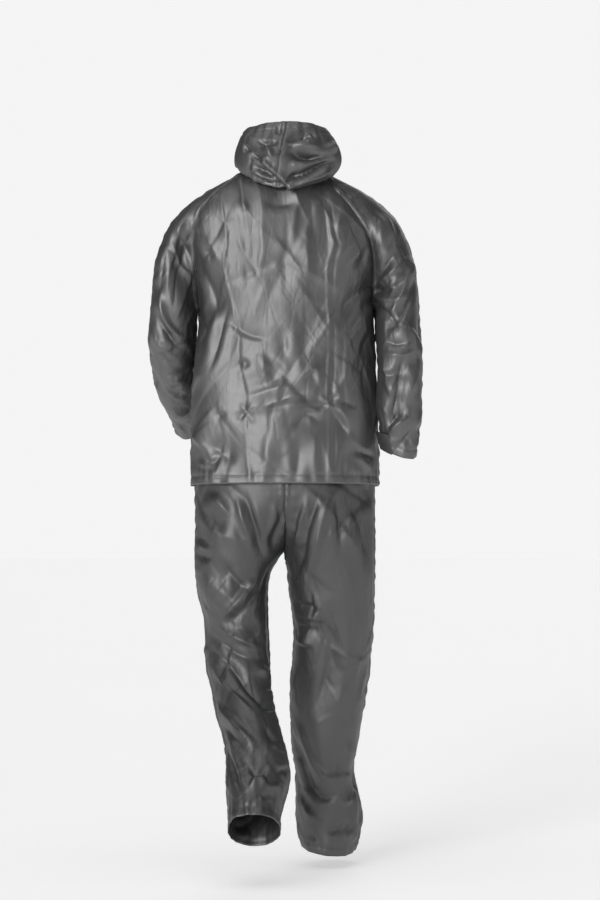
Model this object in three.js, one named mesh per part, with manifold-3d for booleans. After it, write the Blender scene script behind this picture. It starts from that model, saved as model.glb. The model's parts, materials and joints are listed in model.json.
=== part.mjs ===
// A two-piece rain suit in the shape it has when worn in mid stride: a hooded raglan jacket with its
// hood down, closed by a front zip, over loose pull-on trousers. Nobody is in it, so every piece is a
// thin wall of cloth round an empty hollow.
//
// Millimetres. +X is the wearer's left, -Y is the front and +Z is up. Heights in the tables are above
// the ground, and the whole group is lowered at the end so that its origin is at the nape of the neck.

import * as THREE from "three";
import { mergeVertices } from "three/addons/utils/BufferGeometryUtils.js";
import Module from "manifold-3d";

const wasm = await Module();
wasm.setup();

// Driving sizes.
const NAPE_HEIGHT = 1550;
const CLOTH = 1.6; // wall of every cloth panel
const SEAM_GAP = 0.3; // between two panels that are sewn together
const MITRE_LIMIT = 0.3; // cosine of half the angle beyond which a seam's walls end square
const SQUARE = 2.5; // of a section of the jacket: 2 makes an ellipse, more makes it squarer
const LIMB = 2.2; // the same of a sleeve or a leg
const NECK_SOFT = 1.1; // the same where the neck's rows leave the raglan seams
const NECK_CROWD = 0.6; // evens out the steps across such a row, where 1 leaves them as they are
const ZIP_TAPE = 10; // half of the zip, from its middle to the edge of a front
const ZIP_FORWARD = 0.4; // how far the zip's middle stands in front of its outer edges
// The way a sleeve leaves its seams at the shoulder, and how far outwards it turns as it goes down from
// the one under the arm. Stiff is how far each way holds, as a share of that to the arm's first ring.
const SHOULDER = { out: 0.93, up: -0.37, stiff: 0.5, underOut: 0.45, stiffUnder: 0.42 };
const SLEEVE_NECK = { out: 4, up: 2 }; // how far a sleeve's neck edge bows from between its seams
const HOOD_CENTRE = 10; // how far in front of the origin the point lies that the hood fans out from
const FOLD_END = 0.12; // where in a half wave a fold starts and, as far from its other end, stops
const WAISTBAND = { height: 40, waves: 20, wave: 2.5, stepsPerWave: 4 };
// The tab on a cuff, by rows up from its edge and columns round to the inner side. Its end stands off.
const CUFF_TAB = { rows: [0, 2], columns: [6, 9], endLift: 8, wall: 1.8 };
// The zip's slider. Widths run across the zip, lengths along it and heights out of it.
const SLIDER = { row: 9, width: 9, length: 13, height: 2.4, waist: 6.5 };
const EAR = { width: 1.2, length: 4, height: 3.4, gap: 4.8 };
const PIN = { radius: 0.8, up: 2.3, sides: 16 };
// The pull tab that hangs from the slider's pin.
const PULL = { eye: 2, hole: 1.05, neck: 4, width: 7, shoulder: 5, length: 24, thick: 1.2, slot: 1.6 };

// How many steps each panel is divided into.
const STEPS = {
  body: 12, // from the hem to the underarm
  yoke: 8, // from the underarm to the neck, along a raglan seam
  across: 10, // from a side seam to the middle of the back or front
  cap: 7, // from a raglan seam to the upper arm
  arm: 12, // from the upper arm to the cuff
  hood: 12, // from the neck seam over the fold to the rim of the hood
  seat: 9, // from the waist to the crotch
  leg: 18, // from the crotch to the hem of a leg
  round: 10, // from an outer leg seam to an inner one
};

// The jacket's body from the hem to the underarm. hemBack and hemFront lift the middle of a row.
const BODY = [
  { height: 850, x: 0, wide: 207, back: 152, front: 160, hemBack: 8, hemFront: -4 },
  { height: 900, x: 0, wide: 206, back: 150, front: 161, hemBack: 6, hemFront: -3 },
  { height: 1000, x: 1, wide: 207, back: 146, front: 163, hemBack: 3, hemFront: -1 },
  { height: 1080, x: 1, wide: 203, back: 140, front: 161, hemBack: 1, hemFront: 0 },
  { height: 1160, x: 0, wide: 194, back: 136, front: 156, hemBack: 0, hemFront: 0 },
  { height: 1240, x: 0, wide: 187, back: 134, front: 150, hemBack: 0, hemFront: 0 },
];

// The yokes from the underarm (at 0) up a raglan seam to the neck (at 1). side is a point of the seam,
// mid the middle of the row, x how far the whole row sits to the wearer's left, and soft how roundly
// the row leaves the seam: SQUARE is a full turn.
const BACK_YOKE = [
  { at: 0.0, x: 0, sideX: 187, sideY: 0, sideZ: 1240, midY: 134, midZ: 1240, soft: 2.5 },
  { at: 0.2, x: 1, sideX: 196, sideY: 42, sideZ: 1310, midY: 135, midZ: 1312, soft: 2.2 },
  { at: 0.4, x: 6, sideX: 194, sideY: 72, sideZ: 1382, midY: 132, midZ: 1385, soft: 1.8 },
  { at: 0.6, x: 16, sideX: 174, sideY: 84, sideZ: 1440, midY: 124, midZ: 1444, soft: 1.5 },
  { at: 0.8, x: 18, sideX: 132, sideY: 76, sideZ: 1496, midY: 106, midZ: 1500, soft: 1.2 },
  { at: 1.0, x: 0, sideX: 80, sideY: 44, sideZ: 1545, midY: 72, midZ: 1552, soft: 1.1 },
];
const FRONT_YOKE = [
  { at: 0.0, x: 0, sideX: 187, sideY: 0, sideZ: 1240, midY: -150, midZ: 1240, soft: 2.5 },
  { at: 0.2, x: 0, sideX: 192, sideY: -38, sideZ: 1310, midY: -152, midZ: 1298, soft: 2.2 },
  { at: 0.4, x: 0, sideX: 183, sideY: -64, sideZ: 1380, midY: -148, midZ: 1350, soft: 1.8 },
  { at: 0.6, x: 0, sideX: 160, sideY: -74, sideZ: 1434, midY: -137, midZ: 1397, soft: 1.5 },
  { at: 0.8, x: 0, sideX: 122, sideY: -66, sideZ: 1486, midY: -114, midZ: 1440, soft: 1.2 },
  { at: 1.0, x: 0, sideX: 80, sideY: -38, sideZ: 1534, midY: -80, midZ: 1480, soft: 1.1 },
];

// The sleeves from the upper arm (at 0) to the cuff (at 1). x is measured outwards from the middle of
// the body. A limb with a negative lean goes forwards as it goes down, and tip lowers the outer side.
const SLEEVE = {
  left: [
    { at: 0.0, x: 246, y: -20, height: 1206, wide: 52, deep: 90, lean: -12, tip: 0 },
    { at: 0.25, x: 249, y: -48, height: 1144, wide: 53, deep: 82, lean: -22, tip: 0 },
    { at: 0.5, x: 246, y: -98, height: 1088, wide: 50, deep: 73, lean: -38, tip: 0 },
    { at: 0.75, x: 231, y: -162, height: 1042, wide: 46, deep: 62, lean: -45, tip: 0 },
    { at: 1.0, x: 217, y: -226, height: 994, wide: 39, deep: 55, lean: -47, tip: 8 },
  ],
  right: [
    { at: 0.0, x: 246, y: 18, height: 1206, wide: 50, deep: 90, lean: 12, tip: 0 },
    { at: 0.3, x: 251, y: 50, height: 1122, wide: 50, deep: 80, lean: 16, tip: 0 },
    { at: 0.56, x: 248, y: 72, height: 1042, wide: 50, deep: 67, lean: 3, tip: 0 },
    { at: 0.8, x: 249, y: 73, height: 978, wide: 44, deep: 58, lean: -10, tip: 6 },
    { at: 1.0, x: 252, y: 64, height: 926, wide: 36, deep: 52, lean: -14, tip: 14 },
  ],
};

// The hood from the middle of the back (turn 0) to the middle of the front (turn 180). Each place is
// measured outwards and upwards from the neck seam: the cloth stands up and rolls over, drops down
// behind the neck to low, the bottom of the pouch, and comes up again over bulge, its fullest part,
// and fold, the soft edge below the casing, to rim, the edge round the face.
const HOOD = {
  left: [
    { turn: 0, rollOut: 9, rollUp: 17, dropOut: 32, dropUp: -20,
      lowOut: 58, lowUp: -60, bulgeOut: 80, bulgeUp: 2, foldOut: 56, foldUp: 54, rimOut: 30, rimUp: 92 },
    { turn: 30, rollOut: 9, rollUp: 17, dropOut: 28, dropUp: -10,
      lowOut: 46, lowUp: -36, bulgeOut: 62, bulgeUp: 14, foldOut: 46, foldUp: 58, rimOut: 22, rimUp: 90 },
    { turn: 60, rollOut: 7, rollUp: 16, dropOut: 18, dropUp: 12,
      lowOut: 26, lowUp: 6, bulgeOut: 32, bulgeUp: 28, foldOut: 24, foldUp: 60, rimOut: 6, rimUp: 84 },
    { turn: 90, rollOut: 3, rollUp: 14, dropOut: 6, dropUp: 18,
      lowOut: 9, lowUp: 24, bulgeOut: 10, bulgeUp: 38, foldOut: 6, foldUp: 56, rimOut: -4, rimUp: 72 },
    { turn: 135, rollOut: 2, rollUp: 12, dropOut: 4, dropUp: 20,
      lowOut: 6, lowUp: 28, bulgeOut: 8, bulgeUp: 40, foldOut: 7, foldUp: 56, rimOut: 2, rimUp: 72 },
    { turn: 180, rollOut: 1, rollUp: 12, dropOut: 2, dropUp: 22,
      lowOut: 3, lowUp: 31, bulgeOut: 4, bulgeUp: 43, foldOut: 4, foldUp: 58, rimOut: 3, rimUp: 74 },
  ],
  right: [
    { turn: 0, rollOut: 9, rollUp: 17, dropOut: 32, dropUp: -20,
      lowOut: 58, lowUp: -60, bulgeOut: 80, bulgeUp: 2, foldOut: 56, foldUp: 54, rimOut: 30, rimUp: 92 },
    { turn: 30, rollOut: 9, rollUp: 17, dropOut: 30, dropUp: -14,
      lowOut: 56, lowUp: -44, bulgeOut: 76, bulgeUp: 4, foldOut: 56, foldUp: 54, rimOut: 26, rimUp: 90 },
    { turn: 60, rollOut: 7, rollUp: 16, dropOut: 24, dropUp: 4,
      lowOut: 42, lowUp: -8, bulgeOut: 56, bulgeUp: 20, foldOut: 42, foldUp: 58, rimOut: 14, rimUp: 84 },
    { turn: 90, rollOut: 4, rollUp: 14, dropOut: 12, dropUp: 17,
      lowOut: 20, lowUp: 18, bulgeOut: 29, bulgeUp: 36, foldOut: 20, foldUp: 60, rimOut: 2, rimUp: 74 },
    { turn: 135, rollOut: 2, rollUp: 12, dropOut: 4, dropUp: 20,
      lowOut: 6, lowUp: 28, bulgeOut: 8, bulgeUp: 40, foldOut: 7, foldUp: 56, rimOut: 2, rimUp: 72 },
    { turn: 180, rollOut: 1, rollUp: 12, dropOut: 2, dropUp: 22,
      lowOut: 3, lowUp: 31, bulgeOut: 4, bulgeUp: 43, foldOut: 4, foldUp: 58, rimOut: 3, rimUp: 74 },
  ],
};

// How far each place of the hood's middle seam hangs to the wearer's left.
const HOOD_LEAN = { roll: 0, drop: 6, low: 20, bulge: 12, fold: 4, rim: -4 };

// The trousers from the waist to the crotch. wide is the whole half width, and fork the angle at which
// a leg's panels end: 90 is the middle of the body, 180 the inner side of a leg that stands alone.
const SEAT = [
  { height: 1050, wide: 172, back: 116, front: 112, fork: 90 },
  { height: 960, wide: 188, back: 132, front: 128, fork: 90 },
  { height: 900, wide: 204, back: 139, front: 133, fork: 90 },
  { height: 870, wide: 199, back: 139, front: 133, fork: 90 },
  { height: 800, wide: 198, back: 136, front: 130, fork: 108 },
  { height: 745, wide: 199, back: 127, front: 124, fork: 142 },
  { height: 706, wide: 200, back: 118, front: 116, fork: 180 },
];

// The legs from the crotch (at 0) to the hem (at 1). x is measured outwards from the middle.
const LEG = {
  left: [
    { at: 0.0, x: 100, y: 0, height: 706, wide: 100, back: 118, front: 116, lean: 0, tip: 0 },
    { at: 0.07, x: 118, y: -4, height: 660, wide: 82, back: 112, front: 112, lean: -1, tip: 0 },
    { at: 0.16, x: 113, y: -10, height: 605, wide: 77, back: 106, front: 106, lean: -2, tip: 0 },
    { at: 0.27, x: 105, y: -16, height: 538, wide: 69, back: 98, front: 99, lean: 0, tip: 0 },
    { at: 0.37, x: 107, y: -14, height: 475, wide: 73, back: 94, front: 96, lean: 8, tip: 0 },
    { at: 0.47, x: 99, y: 12, height: 414, wide: 67, back: 86, front: 92, lean: 22, tip: 0 },
    { at: 0.6, x: 83, y: 68, height: 348, wide: 65, back: 80, front: 86, lean: 36, tip: 0 },
    { at: 0.73, x: 62, y: 126, height: 280, wide: 66, back: 80, front: 82, lean: 38, tip: 0 },
    { at: 0.83, x: 56, y: 170, height: 222, wide: 71, back: 82, front: 80, lean: 36, tip: 0 },
    { at: 0.93, x: 64, y: 212, height: 160, wide: 58, back: 78, front: 78, lean: 34, tip: 0 },
    { at: 1.0, x: 64, y: 238, height: 120, wide: 57, back: 78, front: 80, lean: 32, tip: 0 },
  ],
  right: [
    { at: 0.0, x: 100, y: 0, height: 706, wide: 100, back: 118, front: 116, lean: 0, tip: 0 },
    { at: 0.11, x: 103, y: -20, height: 632, wide: 96, back: 116, front: 116, lean: -8, tip: 0 },
    { at: 0.23, x: 107, y: -38, height: 552, wide: 90, back: 108, front: 110, lean: -10, tip: 0 },
    { at: 0.35, x: 104, y: -58, height: 476, wide: 88, back: 102, front: 103, lean: -10, tip: 0 },
    { at: 0.45, x: 98, y: -72, height: 412, wide: 87, back: 98, front: 98, lean: -9, tip: 0 },
    { at: 0.53, x: 93, y: -82, height: 358, wide: 83, back: 96, front: 94, lean: -8, tip: 0 },
    { at: 0.63, x: 89, y: -92, height: 294, wide: 75, back: 92, front: 90, lean: -8, tip: 0 },
    { at: 0.76, x: 88, y: -106, height: 206, wide: 65, back: 86, front: 86, lean: -8, tip: 0 },
    { at: 0.86, x: 98, y: -116, height: 142, wide: 75, back: 88, front: 86, lean: -9, tip: 0 },
    { at: 0.93, x: 99, y: -122, height: 94, wide: 73, back: 88, front: 84, lean: -11, tip: 3 },
    { at: 1.0, x: 97, y: -128, height: 46, wide: 63, back: 84, front: 82, lean: -12, tip: 6 },
  ],
};

// The largest folds, each a straight run between two points near the cloth. A positive depth is a
// trough, a negative one a ridge, and wide is how far it reaches to each side.
const FOLDS = {
  jacket: [
    // Left sleeve: the sag over the elbow and the drag lines from the armpit.
    { from: [300, 10, 1268], to: [215, 40, 1178], wide: 26, depth: 13 },
    { from: [296, 20, 1210], to: [215, 20, 1140], wide: 34, depth: -10 },
    { from: [245, 85, 1400], to: [205, 70, 1300], wide: 24, depth: 9 },
    { from: [285, 20, 1385], to: [228, 75, 1270], wide: 22, depth: -6 },
    { from: [285, -60, 1090], to: [205, -70, 1040], wide: 26, depth: 8 },
    // Right sleeve: folds that run from the armpit down to the outside of the elbow.
    { from: [-212, 95, 1330], to: [-285, 80, 1400], wide: 20, depth: 8 },
    { from: [-215, 120, 1270], to: [-290, 100, 1360], wide: 22, depth: -7 },
    { from: [-222, 140, 1200], to: [-292, 110, 1270], wide: 22, depth: 10 },
    { from: [-225, 140, 1150], to: [-290, 110, 1215], wide: 26, depth: -8 },
    { from: [-215, 130, 1100], to: [-285, 130, 1125], wide: 22, depth: 7 },
    { from: [-228, 120, 985], to: [-268, 130, 1045], wide: 20, depth: 8 },
    // Back: drag lines from the armpits and the long undulations that end at the hem.
    { from: [182, 75, 1330], to: [130, 125, 1200], wide: 34, depth: 8 },
    { from: [-182, 70, 1330], to: [-140, 125, 1180], wide: 32, depth: 8 },
    { from: [150, 112, 1240], to: [190, 80, 960], wide: 34, depth: -7 },
    { from: [50, 140, 1300], to: [92, 145, 880], wide: 30, depth: 6 },
    { from: [0, 140, 1230], to: [10, 150, 900], wide: 44, depth: -6 },
    { from: [-92, 140, 1300], to: [-96, 150, 860], wide: 26, depth: 6 },
    { from: [-150, 110, 1150], to: [-165, 110, 870], wide: 34, depth: -7 },
    { from: [196, 40, 985], to: [110, 135, 915], wide: 26, depth: 9 },
    { from: [-100, 140, 985], to: [-200, 60, 905], wide: 26, depth: 8 },
    // Front: the same play of soft verticals, ending free at the hem.
    { from: [150, -80, 1300], to: [120, -140, 1130], wide: 32, depth: 8 },
    { from: [-150, -80, 1300], to: [-125, -140, 1110], wide: 32, depth: 8 },
    { from: [95, -150, 1240], to: [110, -150, 860], wide: 32, depth: -7 },
    { from: [-85, -155, 1220], to: [-105, -150, 860], wide: 32, depth: -7 },
    { from: [55, -158, 1120], to: [62, -160, 850], wide: 28, depth: 6 },
    { from: [-50, -158, 1140], to: [-58, -160, 850], wide: 28, depth: 6 },
  ],
  hood: [
    { from: [75, 100, 1640], to: [5, 128, 1602], wide: 14, depth: 6 },
    { from: [-10, 128, 1602], to: [-78, 95, 1630], wide: 14, depth: 6 },
    { from: [-5, 150, 1590], to: [-80, 110, 1568], wide: 18, depth: 9 },
    { from: [75, 110, 1560], to: [20, 148, 1525], wide: 14, depth: 7 },
    { from: [-20, 150, 1520], to: [-100, 70, 1565], wide: 13, depth: 5 },
    { from: [108, 20, 1590], to: [100, 45, 1570], wide: 16, depth: -9 },
  ],
  trousers: [
    // Left leg: broad facets on the thigh, star folds at the knee and the stack above the heel.
    { from: [60, 120, 845], to: [50, 90, 700], wide: 30, depth: 10 },
    { from: [190, 60, 770], to: [160, 90, 640], wide: 34, depth: 7 },
    { from: [160, 80, 625], to: [50, 90, 600], wide: 24, depth: -9 },
    { from: [178, 60, 500], to: [60, 80, 590], wide: 30, depth: 11 },
    { from: [175, 70, 500], to: [50, 90, 445], wide: 20, depth: -9 },
    { from: [170, 70, 460], to: [60, 110, 340], wide: 24, depth: 8 },
    { from: [130, 170, 270], to: [30, 185, 300], wide: 22, depth: -9 },
    { from: [115, 220, 230], to: [20, 230, 262], wide: 18, depth: 12 },
    { from: [100, 240, 205], to: [20, 250, 215], wide: 16, depth: -8 },
    { from: [95, -100, 590], to: [100, -110, 420], wide: 40, depth: -6 },
    { from: [160, -20, 430], to: [60, -50, 400], wide: 22, depth: 7 },
    // Right leg: long quiet folds that fall from the seat to the outside of the foot.
    { from: [-60, 120, 840], to: [-30, 80, 690], wide: 26, depth: 9 },
    { from: [-105, 130, 850], to: [-50, 90, 640], wide: 24, depth: -8 },
    { from: [-140, 110, 850], to: [-80, 80, 600], wide: 24, depth: 9 },
    { from: [-25, 40, 600], to: [-90, 50, 520], wide: 24, depth: 7 },
    { from: [-110, 50, 560], to: [-60, 20, 330], wide: 26, depth: 7 },
    { from: [-30, 0, 420], to: [-40, -30, 200], wide: 28, depth: 8 },
    { from: [-45, -30, 215], to: [-100, -25, 100], wide: 18, depth: 10 },
    { from: [-60, -25, 180], to: [-160, -40, 180], wide: 40, depth: -5 },
    { from: [-100, -30, 120], to: [-150, -50, 150], wide: 20, depth: 7 },
    { from: [-100, -160, 560], to: [-110, -190, 200], wide: 34, depth: -6 },
    { from: [-60, -150, 640], to: [-50, -160, 300], wide: 30, depth: 6 },
    { from: [90, -120, 850], to: [60, -110, 690], wide: 28, depth: 8 },
    { from: [-90, -120, 850], to: [-60, -110, 690], wide: 28, depth: 8 },
  ],
};

const radians = THREE.MathUtils.degToRad;
const point = (x, y, z) => new THREE.Vector3(x, y, z);
const steps = (count) => Array.from({ length: count + 1 }, (_, i) => i / count);

// The row of a table at any value of its key column, each other column on a smooth curve.
function between(table, key, value) {
  const rising = table[table.length - 1][key] > table[0][key];
  const past = (row) => (rising ? row[key] < value : row[key] > value);
  const last = table.length - 2;
  const i = Math.min(Math.max(table.filter(past).length - 1, 0), last);
  const span = table[i + 1][key] - table[i][key];
  const t = (value - table[i][key]) / span;
  const slope = (k, column) => {
    const before = table[Math.max(k - 1, 0)];
    const after = table[Math.min(k + 1, last + 1)];
    return (after[column] - before[column]) / (after[key] - before[key]);
  };
  const row = {};
  for (const column of Object.keys(table[0])) {
    row[column] =
      table[i][column] * (2 * t ** 3 - 3 * t ** 2 + 1) +
      table[i + 1][column] * (3 * t ** 2 - 2 * t ** 3) +
      slope(i, column) * span * (t ** 3 - 2 * t ** 2 + t) +
      slope(i + 1, column) * span * (t ** 3 - t ** 2);
  }
  row[key] = value;
  return row;
}

// A cosine or sine that draws a squarer or softer curve than a circle's.
const eased = (value, power) => Math.sign(value) * Math.abs(value) ** (2 / power);

// A point of half a row of the jacket: turn 0 is the side seam or raglan seam, 90 the middle.
function acrossBody(row, turn) {
  const out = eased(Math.cos(radians(turn)), SQUARE);
  const along = eased(Math.sin(radians(turn)), row.soft);
  return point(
    row.x + row.sideX * out * row.side,
    row.sideY + (row.midY - row.sideY) * along,
    row.sideZ + (row.midZ - row.sideZ) * along,
  );
}

// The rows of one half of the jacket, as settings for acrossBody. side is 1 for the wearer's left,
// and face 1 for the back.
function bodyRows(side, face) {
  const yoke = face > 0 ? BACK_YOKE : FRONT_YOKE;
  const lower = steps(STEPS.body).map((t) => {
    const height = THREE.MathUtils.lerp(BODY[0].height, BODY[BODY.length - 1].height, t);
    const r = between(BODY, "height", height);
    const lift = face > 0 ? r.hemBack : r.hemFront;
    const midY = face > 0 ? r.back : -r.front;
    return { side, x: r.x, sideX: r.wide, sideY: 0, sideZ: height, midY, midZ: height + lift, soft: SQUARE };
  });
  const upper = steps(STEPS.yoke).slice(1).map((t) => ({ ...between(yoke, "at", t), side }));
  return [...lower, ...upper];
}

// The turn at a share of the way across a row, so that the steps come out nearly even.
function evenTurn(row, share, end) {
  const crowd = THREE.MathUtils.mapLinear(row.soft, NECK_SOFT, SQUARE, NECK_CROWD, 1);
  return end * share ** crowd;
}

// The turn at which a front stops and the zip's tape begins.
function zipTurn(row) {
  const share = ZIP_TAPE / row.sideX;
  return THREE.MathUtils.radToDeg(Math.acos(share ** (SQUARE / 2)));
}

function backPanel() {
  const left = bodyRows(1, 1);
  const right = bodyRows(-1, 1);
  const half = steps(STEPS.across);
  return left.map((row, i) => [
    ...half.map((t) => acrossBody(row, evenTurn(row, t, 90))),
    ...half.slice(0, -1).reverse().map((t) => acrossBody(right[i], evenTurn(row, t, 90))),
  ]);
}

// A front from its side seam to the zip, its columns running the way a clock doesn't, seen from above.
function frontPanel(side) {
  return bodyRows(side, -1).map((row) => {
    const columns = steps(STEPS.across).map((t) => acrossBody(row, evenTurn(row, t, zipTurn(row))));
    return side > 0 ? columns.reverse() : columns;
  });
}

// A raglan seam from the underarm to the neck.
const raglanSeam = (side, face) => bodyRows(side, face).slice(STEPS.body).map((row) => acrossBody(row, 0));

// A point of a tilted ring round a limb: turn 0 is its outer side and 90 its back.
function onRing(ring, side, turn) {
  const out = eased(Math.cos(radians(turn)), LIMB) * ring.wide;
  const sine = eased(Math.sin(radians(turn)), LIMB);
  const deep = sine * (sine > 0 ? ring.back ?? ring.deep : ring.front ?? ring.deep);
  const lean = radians(ring.lean);
  const tip = radians(ring.tip);
  return point(
    side * (ring.x + out * Math.cos(tip)),
    ring.y + deep * Math.cos(lean),
    ring.height + deep * Math.sin(lean) - out * Math.sin(tip),
  );
}

// A raglan sleeve all round: from the loop of its two raglan seams and its short neck edge, over the
// shoulder, to rings round the arm. Rows run up from the cuff, and the first column is the outermost.
function sleeve(side) {
  const table = side > 0 ? SLEEVE.left : SLEEVE.right;
  const back = raglanSeam(side, 1);
  const front = raglanSeam(side, -1);
  const underarm = back[0];
  const neckBack = back[back.length - 1];
  const neckFront = front[front.length - 1];
  const bow = point(side * SLEEVE_NECK.out, 0, SLEEVE_NECK.up);
  const neckMiddle = neckBack.clone().lerp(neckFront, 0.5).add(bow);
  const loop = [neckMiddle, ...back.slice(1).reverse(), underarm, ...front.slice(1)];
  const turns = loop.map((_, i) => (360 * i) / loop.length);
  const first = table[0];
  const armDown = point(0, Math.sin(radians(first.lean)), -Math.cos(radians(first.lean)));
  const shoulderOut = point(side * SHOULDER.out, 0, SHOULDER.up);
  const underOut = armDown.clone().add(point(side * SHOULDER.underOut, 0, 0));
  const cap = steps(STEPS.cap).map((s) =>
    loop.map((start, i) => {
      const end = onRing(first, side, turns[i]);
      const inner = (1 - Math.cos(radians(turns[i]))) / 2;
      const stiff = THREE.MathUtils.lerp(SHOULDER.stiff, SHOULDER.stiffUnder, inner);
      const reach = start.distanceTo(end) * stiff;
      const leave = shoulderOut.clone().lerp(underOut, inner).normalize().multiplyScalar(reach);
      const arrive = end.clone().addScaledVector(armDown, -reach);
      return new THREE.CubicBezierCurve3(start, start.clone().add(leave), arrive, end).getPoint(s);
    }),
  );
  const arm = steps(STEPS.arm).slice(1).map((t) => {
    const ring = between(table, "at", t);
    return turns.map((turn) => onRing(ring, side, turn));
  });
  const rows = [...cap, ...arm].reverse();
  return side > 0 ? rows : rows.map((row) => [row[0], ...row.slice(1).reverse()]);
}

// Half of the hood. Its columns start on the neck edge of the jacket, and its rows go down into the
// pouch, up its outer layer and on to the rim.
function hoodHalf(side, neckEdge) {
  const columns = neckEdge.map((start) => {
    const away = point(start.x, start.y + HOOD_CENTRE, 0).normalize();
    const turn = Math.round(THREE.MathUtils.radToDeg(Math.acos(away.y)));
    const h = between(side > 0 ? HOOD.left : HOOD.right, "turn", turn);
    const behind = Math.max(away.y, 0) ** 2;
    const path = Object.entries(HOOD_LEAN).map(([place, lean]) =>
      start
        .clone()
        .addScaledVector(away, h[`${place}Out`])
        .add(point(behind * lean, 0, h[`${place}Up`])),
    );
    const curve = new THREE.CatmullRomCurve3([start, ...path], false, "centripetal");
    return steps(STEPS.hood).map((t) => curve.getPoint(t));
  });
  return steps(STEPS.hood).map((_, i) => columns.map((column) => column[i]));
}

// The rings round one leg, from the waist down. Above the crotch a ring is shared by both legs, and
// each leg has the part of it from its outer side to the middle of the body.
function legRings(side) {
  const top = SEAT[0].height;
  const crotch = SEAT[SEAT.length - 1].height;
  const seat = steps(STEPS.seat).map((t) => {
    const r = between(SEAT, "height", THREE.MathUtils.lerp(top, crotch, t));
    const wide = r.wide / (1 - eased(Math.cos(radians(r.fork)), LIMB));
    return { ...r, wide, x: r.wide - wide, y: 0, lean: 0, tip: 0 };
  });
  const table = side > 0 ? LEG.left : LEG.right;
  const leg = steps(STEPS.leg).slice(1).map((t) => ({ ...between(table, "at", t), fork: 180 }));
  return [...seat, ...leg];
}

// A front or back of one leg. Rows run up from the hem.
function legPanel(side, face) {
  const rows = legRings(side).map((ring) => {
    const turns = steps(STEPS.round).map((t) => face * t * ring.fork);
    const columns = turns.map((turn) => onRing(ring, side, turn));
    return side * face > 0 ? columns : columns.reverse();
  });
  return rows.reverse();
}

// The elastic casing round the waist, gathered into small waves.
function waistbandPanel() {
  const top = SEAT[0];
  const columns = WAISTBAND.waves * WAISTBAND.stepsPerWave;
  const waved = Array.from({ length: columns }, (_, i) => {
    const turn = (360 * i) / columns;
    const wave = 1 + (WAISTBAND.wave / top.wide) * Math.cos((2 * Math.PI * i) / WAISTBAND.stepsPerWave);
    const deep = Math.sin(radians(turn)) > 0 ? top.back : top.front;
    return { x: top.wide * wave, y: deep * wave, turn: radians(turn) };
  });
  const around = (w, up) =>
    point(w.x * eased(Math.cos(w.turn), LIMB), w.y * eased(Math.sin(w.turn), LIMB), top.height + up);
  return [SEAM_GAP, WAISTBAND.height / 2, WAISTBAND.height].map((up) => waved.map((w) => around(w, up)));
}

// How far a point is pushed in by a set of folds.
function foldDepth(folds, p) {
  return folds.reduce((sum, fold) => {
    const from = point(...fold.from);
    const run = point(...fold.to).sub(from);
    const along = THREE.MathUtils.clamp(p.clone().sub(from).dot(run) / run.lengthSq(), 0, 1);
    const away = p.distanceTo(from.addScaledVector(run, along)) / fold.wide;
    const wave = Math.sin(Math.PI * THREE.MathUtils.lerp(FOLD_END, 1 - FOLD_END, along));
    return sum + fold.depth * Math.exp(-away * away) * wave;
  }, 0);
}

// Outward normals of a set of panels, shared where panels meet at a seam.
function sewnNormals(panels) {
  const key = (p) => p.toArray().map((value) => Math.round(value * 100)).join();
  const sums = new Map();
  for (const { rows, closed } of panels) {
    const width = rows[0].length;
    for (let i = 0; i + 1 < rows.length; i++) {
      for (let j = 0; j < (closed ? width : width - 1); j++) {
        const corners = [rows[i][j], rows[i][(j + 1) % width], rows[i + 1][(j + 1) % width], rows[i + 1][j]];
        const normal = corners[2].clone().sub(corners[0]).cross(corners[3].clone().sub(corners[1]));
        for (const corner of corners) {
          if (!sums.has(key(corner))) sums.set(key(corner), point(0, 0, 0));
          sums.get(key(corner)).add(normal);
        }
      }
    }
  }
  return (p) => sums.get(key(p)).clone().normalize();
}

// Presses a set of folds into panels that are sewn together.
function pressFolds(panels, folds) {
  const normal = sewnNormals(panels);
  const pressed = (p) => p.clone().addScaledVector(normal(p), -foldDepth(folds, p));
  return panels.map((panel) => ({ ...panel, rows: panel.rows.map((row) => row.map(pressed)) }));
}

// A closed solid between two grids of points, the outer one facing out. Each cell is split along its
// shorter diagonal, the same way on both of its sides.
function solidBetween(outer, inner, closed) {
  const height = outer.length;
  const width = outer[0].length;
  const positions = [...outer.flat(), ...inner.flat()].flatMap((p) => [p.x, p.y, p.z]);
  const faces = [];
  const quad = (a, b, c, d) => faces.push(a, b, c, a, c, d);
  const turned = (a, b, c, d) => faces.push(a, b, d, b, c, d);
  const out = (i, j) => i * width + (j % width);
  const ins = (i, j) => height * width + out(i, j);
  const cells = closed ? width : width - 1;
  for (let j = 0; j < cells; j++) {
    for (let i = 0; i + 1 < height; i++) {
      const next = (j + 1) % width;
      const rising = outer[i][j].distanceTo(outer[i + 1][next]);
      const falling = outer[i][next].distanceTo(outer[i + 1][j]);
      const split = rising <= falling ? quad : turned;
      split(out(i, j), out(i, j + 1), out(i + 1, j + 1), out(i + 1, j));
      split(ins(i, j), ins(i + 1, j), ins(i + 1, j + 1), ins(i, j + 1));
    }
    quad(ins(0, j), ins(0, j + 1), out(0, j + 1), out(0, j));
    quad(out(height - 1, j), out(height - 1, j + 1), ins(height - 1, j + 1), ins(height - 1, j));
  }
  for (let i = 0; i + 1 < height && !closed; i++) {
    quad(ins(i, 0), out(i, 0), out(i + 1, 0), ins(i + 1, 0));
    quad(out(i, width - 1), ins(i, width - 1), ins(i + 1, width - 1), out(i + 1, width - 1));
  }
  const geometry = new THREE.BufferGeometry();
  geometry.setAttribute("position", new THREE.Float32BufferAttribute(positions, 3));
  geometry.setIndex(faces);
  return geometry;
}

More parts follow.
